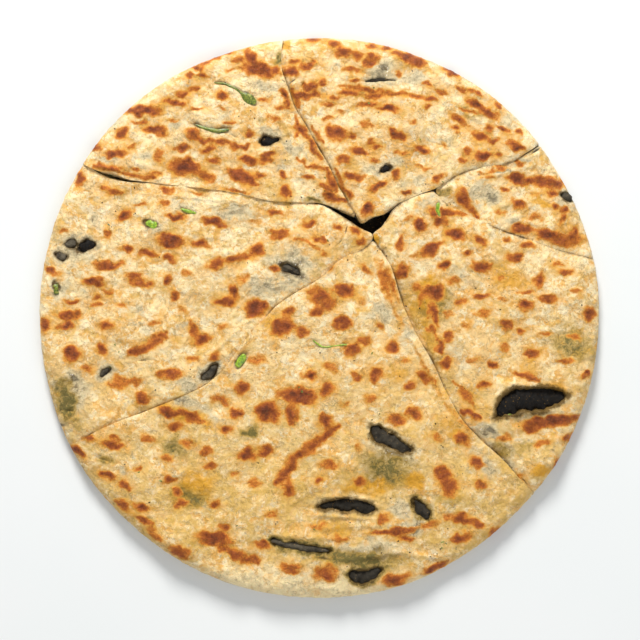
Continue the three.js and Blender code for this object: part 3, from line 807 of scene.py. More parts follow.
# how the skin and the cut faces are made, in mm
skin = {
    "blisterSize": 0.0034, "blisterHeight": 0.0015, "crumbSize": 0.0018, "crumbDepth": 0.0009,  # in m
    "brink": 0.55,  # grid points this near a cut are moved on to it
    "cutFace": 0.75,  # how far in from a cut its face still counts as cut
    "leanReach": 5,  # how far in from an open cut the skin is drawn back
    "lowest": 0.4,
    "footTuck": 3, "footHeight": 3.2,  # the rim's foot is tucked in under the bread
    "splitDepth": -0.5,  # deeper folds are splits
    "thinSlice": 2,  # narrower slices leave a smoother hollow
}

# fine chopped filling just under the skin: many on a square metre, the largest in m
chopped = {
    "Bits": {"slot": "mushroom", "finish": mushroomMaterial, "many": 12000.0, "largest": 0.00036},
    "Herbs": {"slot": "herb", "finish": leafMaterial, "many": 5000.0, "largest": 0.00055},
}


def cutEdge(outline):
    # the cut part of an outline in even steps, and the way into the wedge from each point
    ring = evenLine(np.vstack([outline, outline[:1]]), bread["fineStep"])
    way = np.gradient(ring[:, :2], axis=0)
    way /= np.hypot(*way.T)[:, None]
    inward = np.stack([-way[:, 1], way[:, 0]], 1)
    cutPart = ring[:, 3] < 0.5
    return ring[cutPart], inward[cutPart]


def addFolds(look, x, y, wedge):
    # raised or sunk creases, the deepest of them splits in the skin
    for ax, ay, bx, by, wide, high in wedge["folds"]:
        away, share = alongLine(x + 0.5 * softNoise(x, y, 3, wedge["seed"] + 23), y, [(ax, ay), (bx, by)])
        line = np.exp(-(away / wide) ** 2) * np.sin(math.pi * np.clip(share, 0.04, 0.96)) ** 0.5
        look["relief"] += (2.2 * high if high > 0 else high) * line
        # the splits are painted with shade
        if high < skin["splitDepth"]:
            look["creviceShade"] = np.maximum(look["creviceShade"], np.clip(line * 1.3 - 0.25, 0, 1) * min(1, -high))


def addHollow(look, x, y, piece, seed):
    # the hollow that a slice of filling lies in, with the stained and shaded skin around it
    thin = piece["wide"] < skin["thinSlice"]
    away, share = alongLine(x, y, piece["path"])
    edge = away - 0.42 * widthAt(piece, share) * swellAt(piece, share)
    edge += (0.2 if thin else 1.1) * softNoise(x, y, 4.6, seed + 24)
    edge += (0.15 if thin else 0.4) * softNoise(x, y, 1.8, seed + 25)
    look["relief"] -= 0.75 * piece["thick"] * rise(0.6, -0.25, edge)
    look["relief"] += piece.get("lip", 0.1) * np.exp(-((edge - 1.6) / 1.2) ** 2)
    look["relief"] -= (0.1 if thin else 0.45) * rise(3, 0, edge)
    halo, stain = piece["halo"] * rise(4, 0.2, edge), piece.get("stain", 0)
    look["film"] = np.maximum(look["film"], halo * (1 - 0.5 * stain))
    look["olive"] = np.maximum(look["olive"], halo * stain)
    look["toast"] *= 1 - 0.8 * rise(0.9, 0, edge)
    # painted shade round the slice, and darker painted shade in the crevice at its edge
    shadeReach = 0.3 if thin else min(4.2, 0.5 * piece["wide"])
    look["shade"] = np.maximum(look["shade"], piece.get("shade", 0.85) * rise(shadeReach, -0.6, edge))
    dark = piece.get("dark", 0.9) if piece.get("look", "mushroom") == "mushroom" else 0.2
    rough = 0.3 * softNoise(x, y, 1.3, seed + 26)
    look["creviceShade"] = np.maximum(look["creviceShade"], dark * rise(0.5, -0.9, edge + rough))


def skinLook(node, wedge, x, y, cutAway, press):
    # everything that is to be seen on the skin, one value for each point
    seed = wedge["seed"]
    look = {"shade": np.zeros(x.shape), "creviceShade": np.zeros(x.shape)}
    look["toast"], look["haze"] = heatField(x, y, wedge["spots"], wedge["streaks"], seed)
    for step, stain in ((10, "film"), (12, "olive"), (14, "mustard")):
        look[stain] = washes(x, y, stain, wedge["patches"], seed + step)
    relief = 0.6 * softNoise(x, y, 12, seed + 20) + 0.45 * softNoise(x, y, 5, seed + 21)
    relief += 0.16 * softNoise(x, y, 2.1, seed + 22) + 0.12 * look["toast"]
    look["relief"] = relief
    # painted shade along the cuts, deepest where the skin is pressed down
    pinch = np.clip(press, 0, 1.5) * (0.6 + 0.6 * softNoise(x, y, 6, 61))
    seam = 0.55 * np.exp(-(cutAway / 0.6) ** 2) * pinch + 0.55 * np.exp(-cutAway / 1.8) * pinch
    look["seam"] = np.clip(seam, 0, 1)
    addFolds(look, x, y, wedge)
    for piece in slices.values():
        if piece["wedge"] == node:
            addHollow(look, x, y, piece, seed)
    return look


def markFaces(thing, under):
    # tells the cut faces and the underside from the skin
    wall = np.empty(len(thing.data.vertices), np.float32)
    thing.data.attributes["wall"].data.foreach_get("value", wall)
    loops = np.empty(len(thing.data.loops), int)
    thing.data.loops.foreach_get("vertex_index", loops)
    faces = thing.data.polygons
    cutFaces = [wall[loops[f.loop_start:f.loop_start + f.loop_total]].min() > 0.5 for f in faces]
    underFaces = [i in under for i in range(len(faces))]
    paint(thing, "cutFaces", cutFaces, "FACE", "BOOLEAN")
    paint(thing, "underFaces", underFaces, "FACE", "BOOLEAN")


def scatterFilling(wedgeThing, name, seed, kind):
    # fine bits of one kind over the clean skin of a wedge
    about = chopped[kind]
    filling = wedgeThing.copy()
    filling.data = wedgeThing.data.copy()
    filling.name = filling.data.name = name.replace("Wedge", kind)
    bpy.context.scene.collection.objects.link(filling)
    bits.putOn(filling, bitsPerSquareMetre=about["many"], smallest=0.00012, largest=about["largest"],
               flatness=0.3, length=1.9, seed=seed + len(kind), mask="bitMask", finish=about["finish"])
    bake(filling)
    if len(filling.data.polygons):
        finish(filling, about["slot"])
    else:  # a small wedge may get none
        bpy.data.objects.remove(filling)


def bakeWedge(node, wedge):
    # one wedge from its plain slab to the finished piece, with the filling scattered over it
    name, seed = wedge["name"], wedge["seed"]
    outline = wedgeOutline(wedge)
    cutRing, inward = cutEdge(outline)
    wedge["cutRing"] = cutRing

    thing = pressSlab(name, outline, wedge.get("grid", bread["grid"]))
    co = places(thing)
    x, y = co[:, 0].copy(), co[:, 1].copy()
    up = np.clip((co[:, 2] - co[:, 2].min()) / np.ptp(co[:, 2]), 0, 1)
    index, cutAway = nearest(cutRing[:, :2], x, y)
    press = cutRing[index, 4]
    rimAway = rimAt(np.arctan2(y, x)) - np.hypot(x, y)

    # the skin reaches right to the cut
    brink = (cutAway < skin["brink"]) & (rimAway > 1)
    x[brink] = cutRing[index[brink], 0]
    y[brink] = cutRing[index[brink], 1]
    cutAway[brink] = 0

    look = skinLook(node, wedge, x, y, cutAway, press)
    z = skinHeight(wedge, x, y, cutAway, press)

    # skin up, open cuts leaning back, the foot of the rim tucked in
    z = np.maximum(skin["lowest"], easeDown(z + look.pop("relief") * rise(0, 1.5, rimAway + 0.6))) * up
    lean = np.clip(1 - cutAway / skin["leanReach"], 0, 1) * up ** 1.5 * cutRing[index, 2]
    x += inward[index, 0] * lean
    y += inward[index, 1] * lean
    foot = skin["footTuck"] * np.clip(1 - z / skin["footHeight"], 0, 1) ** 1.6
    foot *= np.exp(-np.maximum(0, rimAway) / 3)
    out = np.hypot(x, y)
    x, y = x * (1 - foot / out), y * (1 - foot / out)
    setPlaces(thing, np.stack([x, y, z], 1))

    cut = cutAway < skin["cutFace"]
    look["wall"] = cut & (up < 0.93)
    look["inside"] = rise(0.05, 0.2, up) * rise(0.92, 0.8, up) * cut
    look["top"] = rise(0.9, 0.99, up) * rise(0.0, 1.5, cutAway)
    clean = look["top"] * (1 - look["toast"]) * (1 - look["creviceShade"]) * rise(1.5, 6, rimAway)
    look["bitMask"] = clean * rise(0.1, 0.6, softNoise(x, y, 10, 77))
    for key, values in look.items():
        paint(thing, key, values)
    markFaces(thing, closeUnderside(thing))

    crust.putOn(thing, blisterSize=skin["blisterSize"], blisterHeight=skin["blisterHeight"],
                crumbSize=skin["crumbSize"], crumbDepth=skin["crumbDepth"], shift=0.01 * seed,
                skin=skinMaterial, cutFace=cutMaterial, underside=undersideMaterial)
    bake(thing)

    # the underside lies flat again
    co = places(thing)
    underside = max(thing.data.polygons, key=lambda face: face.loop_total)
    co[list(underside.vertices), 2] = 0
    setPlaces(thing, co)

    for kind in chopped:
        scatterFilling(thing, name, seed, kind)
    finish(thing, "dough", node)
    print(name, len(thing.data.polygons), "faces")


# filling that shows, one slice along each path: wide and thick are full sizes, point how thin the ends
# are, fattest where it is full width, proud how far it stands above the skin, veil how much film of dough
# covers it; halo and stain are how thin and green the skin around it is, shade and dark how much painted
# shade lies round it and in the crevice at its edge
slices = {
    "mushroom_right": {
        "wedge": "wedge_right",
        "path": [(82.6, -45.2), (86, -41.2), (91.5, -38.6), (98, -37.6), (106, -37.6), (113.5, -36.6)],
        "wide": 11.4, "thick": 3.2, "point": 0.12, "proud": -0.1, "veil": 0.0, "halo": 0.6, "lip": 0.25,
        "shade": 1.3, "stain": 1.3,
    },
    "mushroom_front_middle": {
        "wedge": "wedge_front",
        "path": [(25, -50.6), (30, -55.6), (36, -58.5), (41.5, -60.6)],
        "wide": 7, "thick": 2.8, "point": 0.2, "fattest": 0.4, "proud": -0.15, "veil": 0.12, "halo": 0.9,
        "stain": 0.6,
    },
    "mushroom_front_slit": {
        "wedge": "wedge_front",
        "path": [(0.5, -87), (8, -86.4), (17, -86.3), (26, -88.6)],
        "wide": 6.6, "thick": 2.8, "point": 0.06, "fattest": 0.64, "proud": -0.3, "veil": 0.05, "halo": 0.4,
        "stain": 0.8,
    },
    "mushroom_front_corner": {
        "wedge": "wedge_front",
        "path": [(44.5, -84.5), (47.5, -88.5), (50.5, -93)],
        "wide": 5.6, "thick": 2.8, "point": 0.2, "fattest": 0.6, "proud": -0.2, "veil": 0.1, "halo": 1.0,
        "stain": 0.9, "dark": 0.5, "shade": 0.7,
    },
    "mushroom_front_long": {
        "wedge": "wedge_front",
        "path": [(-22, -102.8), (-14, -105), (-5, -106.8), (5, -107.6)],
        "wide": 3.4, "thick": 2.2, "point": 0.1, "fattest": 0.35, "proud": -0.3, "veil": 0.25, "halo": 1.1,
        "stain": 1, "dark": 0.3, "shade": 0.6,
    },
    "mushroom_front_rim": {
        "wedge": "wedge_front",
        "path": [(14, -118.8), (19, -119.4), (24, -118.6), (28.5, -116.4)],
        "wide": 6, "thick": 2.6, "point": 0.1, "fattest": 0.4, "proud": -0.3, "veil": 0.1, "halo": 1.1,
        "stain": 1.1,
    },
    "mushroom_left_black": {
        "wedge": "wedge_left",
        "path": [(-110, 31.6), (-106.5, 33.4), (-103.2, 33.2)],
        "wide": 4.6, "thick": 2.4, "point": 0.5, "proud": 0, "veil": 0.0, "halo": 0.7,
    },
    "mushroom_left_grey": {
        "wedge": "wedge_left",
        "path": [(-117, 33.6), (-114.4, 34.2), (-112, 33.6)],
        "wide": 4.2, "thick": 2.4, "point": 0.4, "proud": -0.1, "veil": 0.4, "halo": 0.7, "dark": 0.4,
    },
    "mushroom_left_low": {
        "wedge": "wedge_left",
        "path": [(-121, 28.6), (-118.6, 27.6), (-116.6, 28)],
        "wide": 4.2, "thick": 2.2, "point": 0.4, "proud": -0.1, "veil": 0.3, "halo": 0.7, "dark": 0.4,
    },
    "mushroom_left_middle": {
        "wedge": "wedge_left",
        "path": [(-16.5, 23.4), (-12.5, 22.2), (-8.5, 19.4)],
        "wide": 4, "thick": 2.4, "point": 0.2, "fattest": 0.4, "proud": -0.4, "veil": 0.2, "halo": 1.2,
        "shade": 0.6, "dark": 0.3,
    },
    "mushroom_left_lower": {
        "wedge": "wedge_left",
        "path": [(-100.6, -27.4), (-98.6, -25.4), (-96.8, -23.8)],
        "wide": 3.2, "thick": 2, "point": 0.4, "proud": -0.2, "veil": 0.25, "halo": 0.8, "dark": 0.3,
    },
    "mushroom_by_cut": {
        "wedge": "wedge_left",
        "path": [(-53.6, -28.6), (-50.4, -26.4), (-47, -22.4)],
        "wide": 3.6, "thick": 2.4, "point": 0.25, "proud": -0.2, "veil": 0.2, "halo": 0.9, "dark": 0.4,
    },
    "mushroom_upper_left": {
        "wedge": "wedge_upper_left",
        "path": [(-26.4, 80.8), (-23, 80.6), (-18, 82)],
        "wide": 4.4, "thick": 2.4, "point": 0.15, "fattest": 0.35, "proud": -0.5, "veil": 0.0, "halo": 0.3,
    },
    "mushroom_top_slit": {
        "wedge": "wedge_top",
        "path": [(21.5, 108.3), (29, 109.1), (36.5, 108.9)],
        "wide": 2, "thick": 1.8, "point": 0.2, "fattest": 0.4, "proud": -0.35, "veil": 0.05, "halo": 0.6,
        "shade": 0.6,
    },
    "mushroom_top_spot": {
        "wedge": "wedge_top",
        "path": [(28.8, 67), (30.6, 68), (32.4, 69)],
        "wide": 3.2, "thick": 2, "point": 0.6, "proud": 0, "veil": 0.0, "halo": 0.5,
    },
    "mushroom_upper_right": {
        "wedge": "wedge_upper_right",
        "path": [(112.6, 56.2), (114.8, 55), (117, 53.6)],
        "wide": 4, "thick": 2.2, "point": 0.6, "proud": -0.2, "veil": 0.2, "halo": 0.7,
    },
    "herb_sprig": {
        "wedge": "wedge_upper_left",
        "path": [(-48, 108), (-43, 107.6), (-38, 105), (-33.6, 101.6), (-29, 98.2)],
        "wide": 1.2, "leafEnd": 3.2, "thick": 0.9, "point": 0.5, "proud": 0.3, "look": "leaf", "halo": 0.2,
        "shade": 0.3,
    },
    "chive_long": {
        "wedge": "wedge_upper_left",
        "path": [(-56.6, 88.4), (-51, 86.3), (-46, 85.3), (-41, 86)],
        "wide": 2, "thick": 1, "point": 0.4, "fattest": 0.65, "proud": 0.3, "look": "leaf", "halo": 0.3,
        "shade": 0.6,
    },
    "herb_leaf": {
        "wedge": "wedge_left",
        "path": [(-79.4, 43.4), (-76.8, 42.4), (-74.2, 41.8)],
        "wide": 4.2, "thick": 1, "point": 0.4, "proud": 0.35, "look": "chive", "halo": 0.3,
    },
    "chive_short": {
        "wedge": "wedge_left",
        "path": [(-63.4, 49.8), (-60, 48.6), (-56.4, 47.6)],
        "wide": 1.5, "thick": 0.9, "point": 0.4, "proud": 0.3, "look": "chive", "halo": 0.2,
    },
    "herb_by_rim": {
        "wedge": "wedge_left",
        "path": [(-121.8, 15), (-120.4, 12.8), (-121.6, 10.6)],
        "wide": 3.4, "thick": 1, "point": 0.6, "proud": 0.3, "look": "leaf", "halo": 0.3,
    },
    "chive_bright": {
        "wedge": "wedge_front",
        "path": [(-33.9, -17.2), (-35.6, -20), (-37.6, -23)],
        "wide": 3, "thick": 1.4, "point": 0.7, "proud": 0.5, "look": "chive", "halo": 0.2, "shade": 0.3,
    },
    "herb_stalk": {
        "wedge": "wedge_front",
        "path": [(-2.6, -10.6), (0, -13), (2.4, -14), (8, -13.2), (13, -12.6)],
        "wide": 0.8, "thick": 0.8, "point": 0.6, "proud": 0.45, "look": "chive", "halo": 0.1, "shade": 0.25,
    },
    "herb_right": {
        "wedge": "wedge_right",
        "path": [(55.2, 52.6), (54.6, 49.4), (55.8, 46.4)],
        "wide": 1.8, "thick": 0.9, "point": 0.5, "proud": 0.3, "look": "chive", "halo": 0.2,
    },
}

# each wedge lies between two cuts, going anticlockwise; tip is its edge in the middle of the bread
# swells: x, y, reach, height
# spots: x, y, width, height, turn, how scorched
# streaks: from x, y to x, y, width, how scorched
# patches: stain, x, y, width, height, turn, strength
# folds: from x, y to x, y, width, height; the deepest are splits
wedges = {
    "wedge_top": {
        "name": "topWedge", "seed": 30, "from": "upperRight", "to": "topLeft", "lift": 0.3,
        "tip": [
            (16.5, 48.6), (19.3, 43.4), (21, 43.5), (25, 46.3), (30, 47.3), (33, 49.4), (37, 52.3),
            (42, 54.8), (47, 56.9), (52, 58.6)],
        "swells": [
            (34, 98, 20, 0.9), (60, 88, 16, -0.5), (18, 66, 12, 0.8), (-6, 116, 9, 0.7), (30, 68, 6, -0.6),
            (86, 82, 12, 0.7)],
        "spots": [
            (-2, 128, 6, 2, 0, 0.8), (7, 126, 5, 2.5, 0, 0.75), (12, 122, 8, 4, -10, 0.85),
            (18, 120, 4, 3, 0, 0.7), (25, 119, 5, 3, -30, 0.8), (23, 116, 5, 3, 0, 0.75),
            (25, 125, 4, 2, 0, 0.7), (31, 124, 4, 2, 0, 0.7), (36, 121.5, 4, 2.5, 0, 0.75),
            (41, 120, 5, 4, 0, 0.95), (46, 118, 6, 4.5, -20, 0.95), (62, 113, 7, 3, -25, 0.95),
            (-11, 118, 4, 1.5, 0, 0.7), (-13, 113, 8, 4.5, -20, 0.85), (-5, 116, 8, 3, 5, 0.8),
            (15, 113.5, 8, 2, 0, 0.7), (-4, 106, 6, 3, 0, 0.95), (2, 108, 4, 2, 0, 0.7),
            (-5, 102, 12, 2.5, 0, 0.8), (17, 109, 6, 2, 0, 0.7), (14, 103, 9, 2, -6, 0.75),
            (24, 104.5, 9, 1.8, -4, 0.7), (35, 103, 10, 2, -6, 0.75), (45, 101.5, 9, 2, -8, 0.7),
            (26, 101.5, 8, 2.5, 0, 0.8), (23, 98, 10, 1.5, 0, 0.75), (32, 95.5, 9, 2.2, -5, 0.95),
            (7, 101, 5, 2, 0, 0.7), (4, 98, 6, 1.5, 0, 0.7), (8, 84.5, 8, 5, -15, 1.0),
            (15, 83.5, 3, 2, 0, 0.8), (22, 88, 5, 4, 0, 0.5), (4, 91, 4, 2, 0, 0.65),
            (36, 84, 8, 3, -22, 0.85), (19, 76.5, 8, 3.6, -12, 0.95), (12, 72, 6, 3.6, -10, 0.85),
            (27, 78.5, 6, 1.5, 0, 0.75), (26, 72, 4, 2, 0, 0.65), (24, 80.5, 4, 1.5, 0, 0.65),
            (15, 65, 5, 3, 20, 0.85), (19, 64, 4, 2.5, 0, 0.8), (35, 66, 3, 4, 0, 0.8),
            (27, 60, 8, 3, 35, 0.85), (14, 57, 5, 2.5, -40, 0.7), (23, 49.5, 6.5, 4, 45, 1.0),
            (37, 111.5, 3, 2, 0, 0.7), (51, 107, 4, 1.5, 0, 0.75), (57, 104, 4, 2, -20, 0.8),
            (52, 100, 4, 1.5, 0, 0.7), (50, 96.5, 3, 1.5, 0, 0.7), (66, 105, 6, 2, -20, 0.8),
            (73, 103, 6, 1.6, -20, 0.7), (72, 98.5, 10, 2.5, -25, 0.85), (79, 94, 8, 3, -25, 0.95),
            (65, 90.5, 7, 2.5, -25, 0.8), (83, 98, 4, 2, -45, 0.8), (79, 87, 4, 2.5, 0, 0.75),
            (86, 86.5, 5, 1.5, -20, 0.75), (93, 86, 3, 1.5, 0, 0.7), (63, 86.5, 4, 1.8, 0, 0.7),
            (74, 83.5, 8, 3, -15, 0.95), (81, 81.5, 4, 2, 0, 0.75), (91, 79, 9, 3, -40, 0.85),
            (69, 77, 4, 3.5, 0, 0.8), (76, 74.5, 7, 3, 10, 0.85), (83, 75, 3, 2, 0, 0.75),
            (67, 72.5, 4, 2, 0, 0.7), (47, 77, 7, 2.5, -5, 0.95), (38, 76, 4, 2, 0, 0.7),
            (48, 69, 8, 1.5, 0, 0.5), (55, 63, 5, 3, 30, 0.8), (40, 57, 3, 2, 0, 0.75),
            (43, 90, 5, 2, -10, 0.5), (58, 79, 4, 2, 0, 0.4), (10, 94, 5, 2, 0, 0.5)],
        "streaks": [
            (66, 96, 74, 93, 2, 0.55), (33, 85, 39, 82.5, 2.4, 0.7), (10, 106, 20, 105, 1.4, 0.6),
            (-3, 87.5, 1.6, 79, 2, 0.65), (-9, 97, -11.6, 105, 1.8, 0.6), (7, 69, 12, 59, 1.8, 0.6)],
        "patches": [
            ("mustard", -16, 125, 6, 6, 0, 0.8), ("film", 30, 114, 12, 8, 0, 0.8),
            ("film", 44, 110, 10, 6, 0, 0.6), ("film", 25, 67, 8, 5, 0, 0.6),
            ("olive", 70, 94.5, 9, 4, -20, 0.5), ("film", 45, 62, 12, 6, 25, 0.5),
            ("film", 55, 82, 12, 4, -10, 0.4), ("film", 36, 71, 10, 5, 0, 0.5),
            ("olive", 57, 60, 8, 3, 0, 0.6), ("film", 88, 90, 8, 5, -30, 0.4),
            ("olive", 46, 122, 8, 4, -20, 0.4)],
        "folds": [
            (50, 80.5, 61, 78, 0.5, -0.45), (-14, 106.5, -10.5, 110, 0.5, -0.8),
            (-9, 105, -6, 109, 0.45, -0.6), (20, 60, 32, 72, 1.0, 0.25), (10, 90, 30, 100, 1.2, 0.2),
            (62, 96, 80, 88, 1.0, 0.25), (12, 77, 16, 69, 0.9, 0.25)],
    },
    "wedge_upper_left": {
        "name": "upperLeftWedge", "seed": 37, "from": "topLeft", "to": "left", "lift": 0.3,
        "tip": [(-1, 52.9), (4, 51.8), (8.5, 50), (13, 47.7), (17, 46.1), (16, 48.8)],
        "swells": [
            (-96, 70, 10, 1.5), (-40, 92, 18, 0.9), (-12, 78, 8, 0.9), (-70, 76, 12, -0.5),
            (-30, 112, 14, 0.6), (-2, 60, 8, 0.7)],
        "spots": [
            (-45, 121, 12, 2, 20, 0.8), (-31, 120, 8, 3.5, -45, 0.8), (-37, 119, 4, 3, 0, 0.7),
            (-28, 114, 14, 7, -10, 0.8), (-19, 113, 4, 3, 0, 0.8), (-57, 115.5, 3, 2, 0, 0.75),
            (-53, 117, 3, 2, 0, 0.75), (-54, 114, 4, 2, 0, 0.75), (-54, 111, 4, 2, 0, 0.7),
            (-60, 111, 4, 2, 0, 0.7), (-57, 105, 4, 2, 0, 0.75), (-63, 103, 5, 2.5, 0, 0.95),
            (-70, 99, 5, 1.5, 0, 0.75), (-65, 98, 8, 3, -5, 0.85), (-44, 102, 5, 3, 0, 0.75),
            (-81, 95.5, 15, 4.5, 2, 0.9), (-55, 96, 5, 1.2, 0, 0.7), (-82, 90, 6, 1.2, 0, 0.7),
            (-90, 84.5, 5, 4, 30, 0.95), (-75, 86, 9, 3.5, -10, 0.85), (-58, 84, 6, 4, -30, 0.8),
            (-63, 78, 7, 2, 0, 0.8), (-51, 77, 6, 2, 0, 0.8), (-93, 75, 11, 3, 5, 0.85),
            (-103, 79, 4, 2.5, 0, 0.8), (-73, 74, 4, 6, 0, 0.5), (-62, 69, 12, 7.5, -10, 0.95),
            (-53, 66, 5, 3, 0, 0.75), (-50, 63.5, 6, 5, 0, 0.5), (-48, 72, 6, 3, 0, 0.95),
            (-25, 100, 5, 1.5, 0, 0.75), (-41, 90, 4, 1.5, 0, 0.7), (-17, 96, 4, 2, 0, 0.75),
            (-21, 91, 6, 2, -20, 0.5), (-31, 84, 4, 2, 0, 0.75), (-23, 75, 6, 2, 10, 0.8),
            (-24, 72.5, 6, 2, 0, 0.8), (-33, 72.5, 8, 3, -10, 0.95), (-36, 65, 12, 4.5, -15, 0.95),
            (-31, 63, 4, 2.5, 0, 0.8), (-26, 65.5, 4, 2, 0, 0.75), (-16, 66, 3, 2, 0, 0.75),
            (-38, 57.8, 11, 1, 0, 0.8), (-16, 57.5, 3.6, 6, 0, 0.85), (-5, 64, 5, 1.5, -15, 0.75),
            (-40, 114, 4, 1.6, 0, 0.5), (-86, 79, 4, 1.6, 0, 0.5), (-44, 96, 5, 1.4, 0, 0.5),
            (-66, 91, 5, 1.5, 0, 0.5), (-10, 84, 3, 2, -50, 0.6), (-75, 66, 6, 1.5, 0, 0.6),
            (-84, 68, 5, 1.2, 0, 0.6)],
        "streaks": [
            (8, 58.5, 3.6, 68, 3, 0.85), (1, 72, -3.6, 80, 3, 0.9), (-6, 84, -11, 92.5, 2.8, 0.75),
            (-13, 96, -16, 105, 2.4, 0.65), (-103, 70, -88, 65.6, 2.8, 0.7), (-88, 65.2, -75, 63.4, 2, 0.8),
            (-60, 82, -33, 78, 2.6, 0.8), (-8, 87, -2, 80, 1.8, 0.85), (-10, 73, -6, 71, 1.8, 0.75),
            (-5, 70, 2, 67, 1.8, 0.75), (1, 62, 6, 58, 2.2, 0.95), (2, 57, 12, 53, 2.8, 0.95),
            (-36, 65, -28, 61, 2.4, 0.7), (-17, 105, -13, 98, 1.5, 0.5)],
        "patches": [
            ("film", -94, 90, 8, 5, 0, 0.6), ("film", -67, 88, 8, 5, 0, 0.5),
            ("film", -24, 106, 9, 5, 0, 0.5), ("film", -12, 78, 5, 12, 35, 0.6),
            ("film", -80, 75, 9, 4, 0, 0.5), ("film", -18, 70, 8, 6, 0, 0.5),
            ("olive", -18, 120, 5, 8, 0, 0.8), ("film", -22, 84, 14, 5, 0, 0.5),
            ("film", -98, 73, 10, 4, 10, 0.4), ("film", -45, 90, 12, 4, 0, 0.35),
            ("olive", -2, 53.5, 9, 2, -5, 0.8), ("film", -62, 93, 8, 5, 0, 0.4)],
        "folds": [
            (-18, 110, -14, 106.5, 0.5, -0.8), (-18.5, 104, -14, 100.5, 0.5, -0.8),
            (-20, 95, -6, 76, 0.9, 0.3), (-16, 88, -2, 70, 0.8, 0.25), (-8, 70, 6, 56, 0.8, 0.3),
            (-90, 66.5, -104, 69.5, 0.7, 0.35), (-38, 82, -41, 85, 0.6, -0.6),
            (-60, 108, -59.4, 108, 0.5, -0.9), (-70, 82, -45, 88, 1.5, 0.2)],
    },
    "wedge_left": {
        "name": "leftWedge", "seed": 44, "from": "left", "to": "lowerLeft", "lift": -0.1,
        "tip": [
            (20.2, 31), (23.7, 33.9), (25, 36.6), (24.7, 38.2), (22.4, 39.2), (19.5, 40.5), (14, 44.1),
            (8, 47.9), (2, 51.2)],
        "swells": [
            (-14, 25, 14, 1.1), (-28, 15, 9, 0.7), (-68, 30, 18, 0.8), (-112, 30, 12, -0.6),
            (-50, 4, 16, -0.5), (-95, -18, 16, 0.7), (10, 38, 8, 0.6)],
        "spots": [
            (-110, 63, 3.5, 6, -20, 0.8), (-93, 57, 6, 2, 0, 0.8), (-98, 59, 4, 2, 0, 0.7),
            (-70, 58.5, 6, 1.8, 0, 0.8), (-71, 53, 3, 2, 0, 0.7), (-56, 57.5, 5, 1, 0, 0.7),
            (-89, 47, 6, 3.4, 40, 0.95), (-66, 46, 8, 2.6, 0, 0.85), (-47, 43.5, 10, 3, -10, 0.95),
            (-68, 35, 12, 5, -5, 1.0), (-54, 33.5, 7, 3.6, -10, 0.95), (-68, 27, 5, 3, 0, 0.85),
            (-78, 29, 7, 3, 0, 0.85), (-88, 31.5, 6, 2, 0, 0.8), (-97, 38, 4, 2, 0, 0.75),
            (-97, 24, 12, 3.5, 5, 0.85), (-85, 19, 6, 3, 0, 0.8), (-84, 15.5, 9, 3.5, 0, 0.6),
            (-79, 15, 5, 2.5, 0, 0.8), (-104, 16, 9, 3.6, -10, 0.95), (-69, 17, 3, 4, 0, 0.85),
            (-123, 21, 7, 2.6, -20, 0.8), (-66, 9.5, 4, 3.6, 0, 0.85), (-102, 9, 4, 2, 0, 0.75),
            (-102, 5.5, 4, 2, 0, 0.75), (-114, 7, 6, 1.5, 0, 0.75), (-115, 1, 10, 3.6, -5, 0.85),
            (-126, -3.5, 4, 5, 0, 0.95), (-116, -4, 7, 3.5, 0, 0.85), (-98, -4, 4, 3, 0, 0.8),
            (-98, -4, 9, 7, 0, 0.35), (-113, -17, 8, 6.5, 0, 0.95), (-100, -15, 4, 5.5, 0, 0.85),
            (-92, -30, 10, 5, 0, 0.6), (-57, -6, 3, 7, 15, 0.85), (-53, -10.5, 8, 3, 20, 0.85),
            (-68, -26, 10, 3.6, 5, 0.85), (-48, -19, 5, 2.8, 30, 0.8), (-80, -37, 5, 4.5, 0, 0.8),
            (-39, 12, 4.6, 5.6, 0, 0.85), (-43, 7, 9, 3.6, 0, 0.85), (-29, 4, 8, 5.6, -20, 1.0),
            (-47, 24, 8, 4.4, 30, 0.85), (-28, 31, 6, 3.6, 35, 0.95), (-18, 39, 8, 2.4, 0, 0.8),
            (-17, 36.6, 7, 2, 0, 0.75), (-4, 43, 5, 3, 20, 0.8), (1, 36, 6, 2, -15, 0.8),
            (9, 41, 4, 3, 0, 0.75), (17, 40, 4, 2.4, -30, 0.8), (20, 34.4, 3, 3.6, 0, 0.95),
            (-20, 48.5, 8, 2, -5, 0.75), (-20, 22, 4, 2.8, -10, 0.85), (-40, 26, 5, 2.6, 20, 0.8),
            (-34, 27, 6, 3, 35, 0.8), (3, 29, 5, 2.6, 0, 0.5), (-60, 20, 5, 2, 0, 0.45),
            (-35, 18, 6, 3, 0, 0.45), (-90, 5, 5, 2, 0, 0.5), (-75, -3, 6, 2.4, 20, 0.5),
            (-106, -24, 6, 3, 0, 0.6), (-62, 3, 4, 3, 0, 0.5), (-118, 40, 4, 2.4, 0, 0.6),
            (-82, 52, 6, 1.6, 0, 0.5), (-30, 44, 7, 2, 0, 0.4), (-84, -30, 6, 3, 0, 0.55),
            (-58, -20, 5, 2.6, 0, 0.5), (-44, -4, 6, 3, 0, 0.5), (-96, 12, 5, 2.4, 0, 0.6)],
        "streaks": [(-87, -17, -70, -9, 4.6, 0.85), (-24, 7, -32, 1, 4, 0.6), (-10, 36, 2, 31, 2, 0.5)],
        "patches": [
            ("film", -12, 24, 20, 14, -20, 0.65), ("film", -13, 20, 11, 8, -30, 0.75),
            ("film", -24, 14, 20, 9, 0, 0.65), ("film", -115, -29, 12, 4, 0, 0.8),
            ("film", -113, -34, 13, 18, 15, 0.55), ("olive", -116, -39, 10, 22, 18, 1.05),
            ("film", -40, 48, 20, 6, 0, 0.55), ("film", -112, 31, 18, 12, 0, 0.6),
            ("film", -121, 13, 9, 9, 0, 0.6), ("film", -62, 51, 14, 5, 0, 0.35),
            ("film", -50, -26, 11, 8, 30, 0.7), ("film", -96, -24, 10, 7, 0, 0.5),
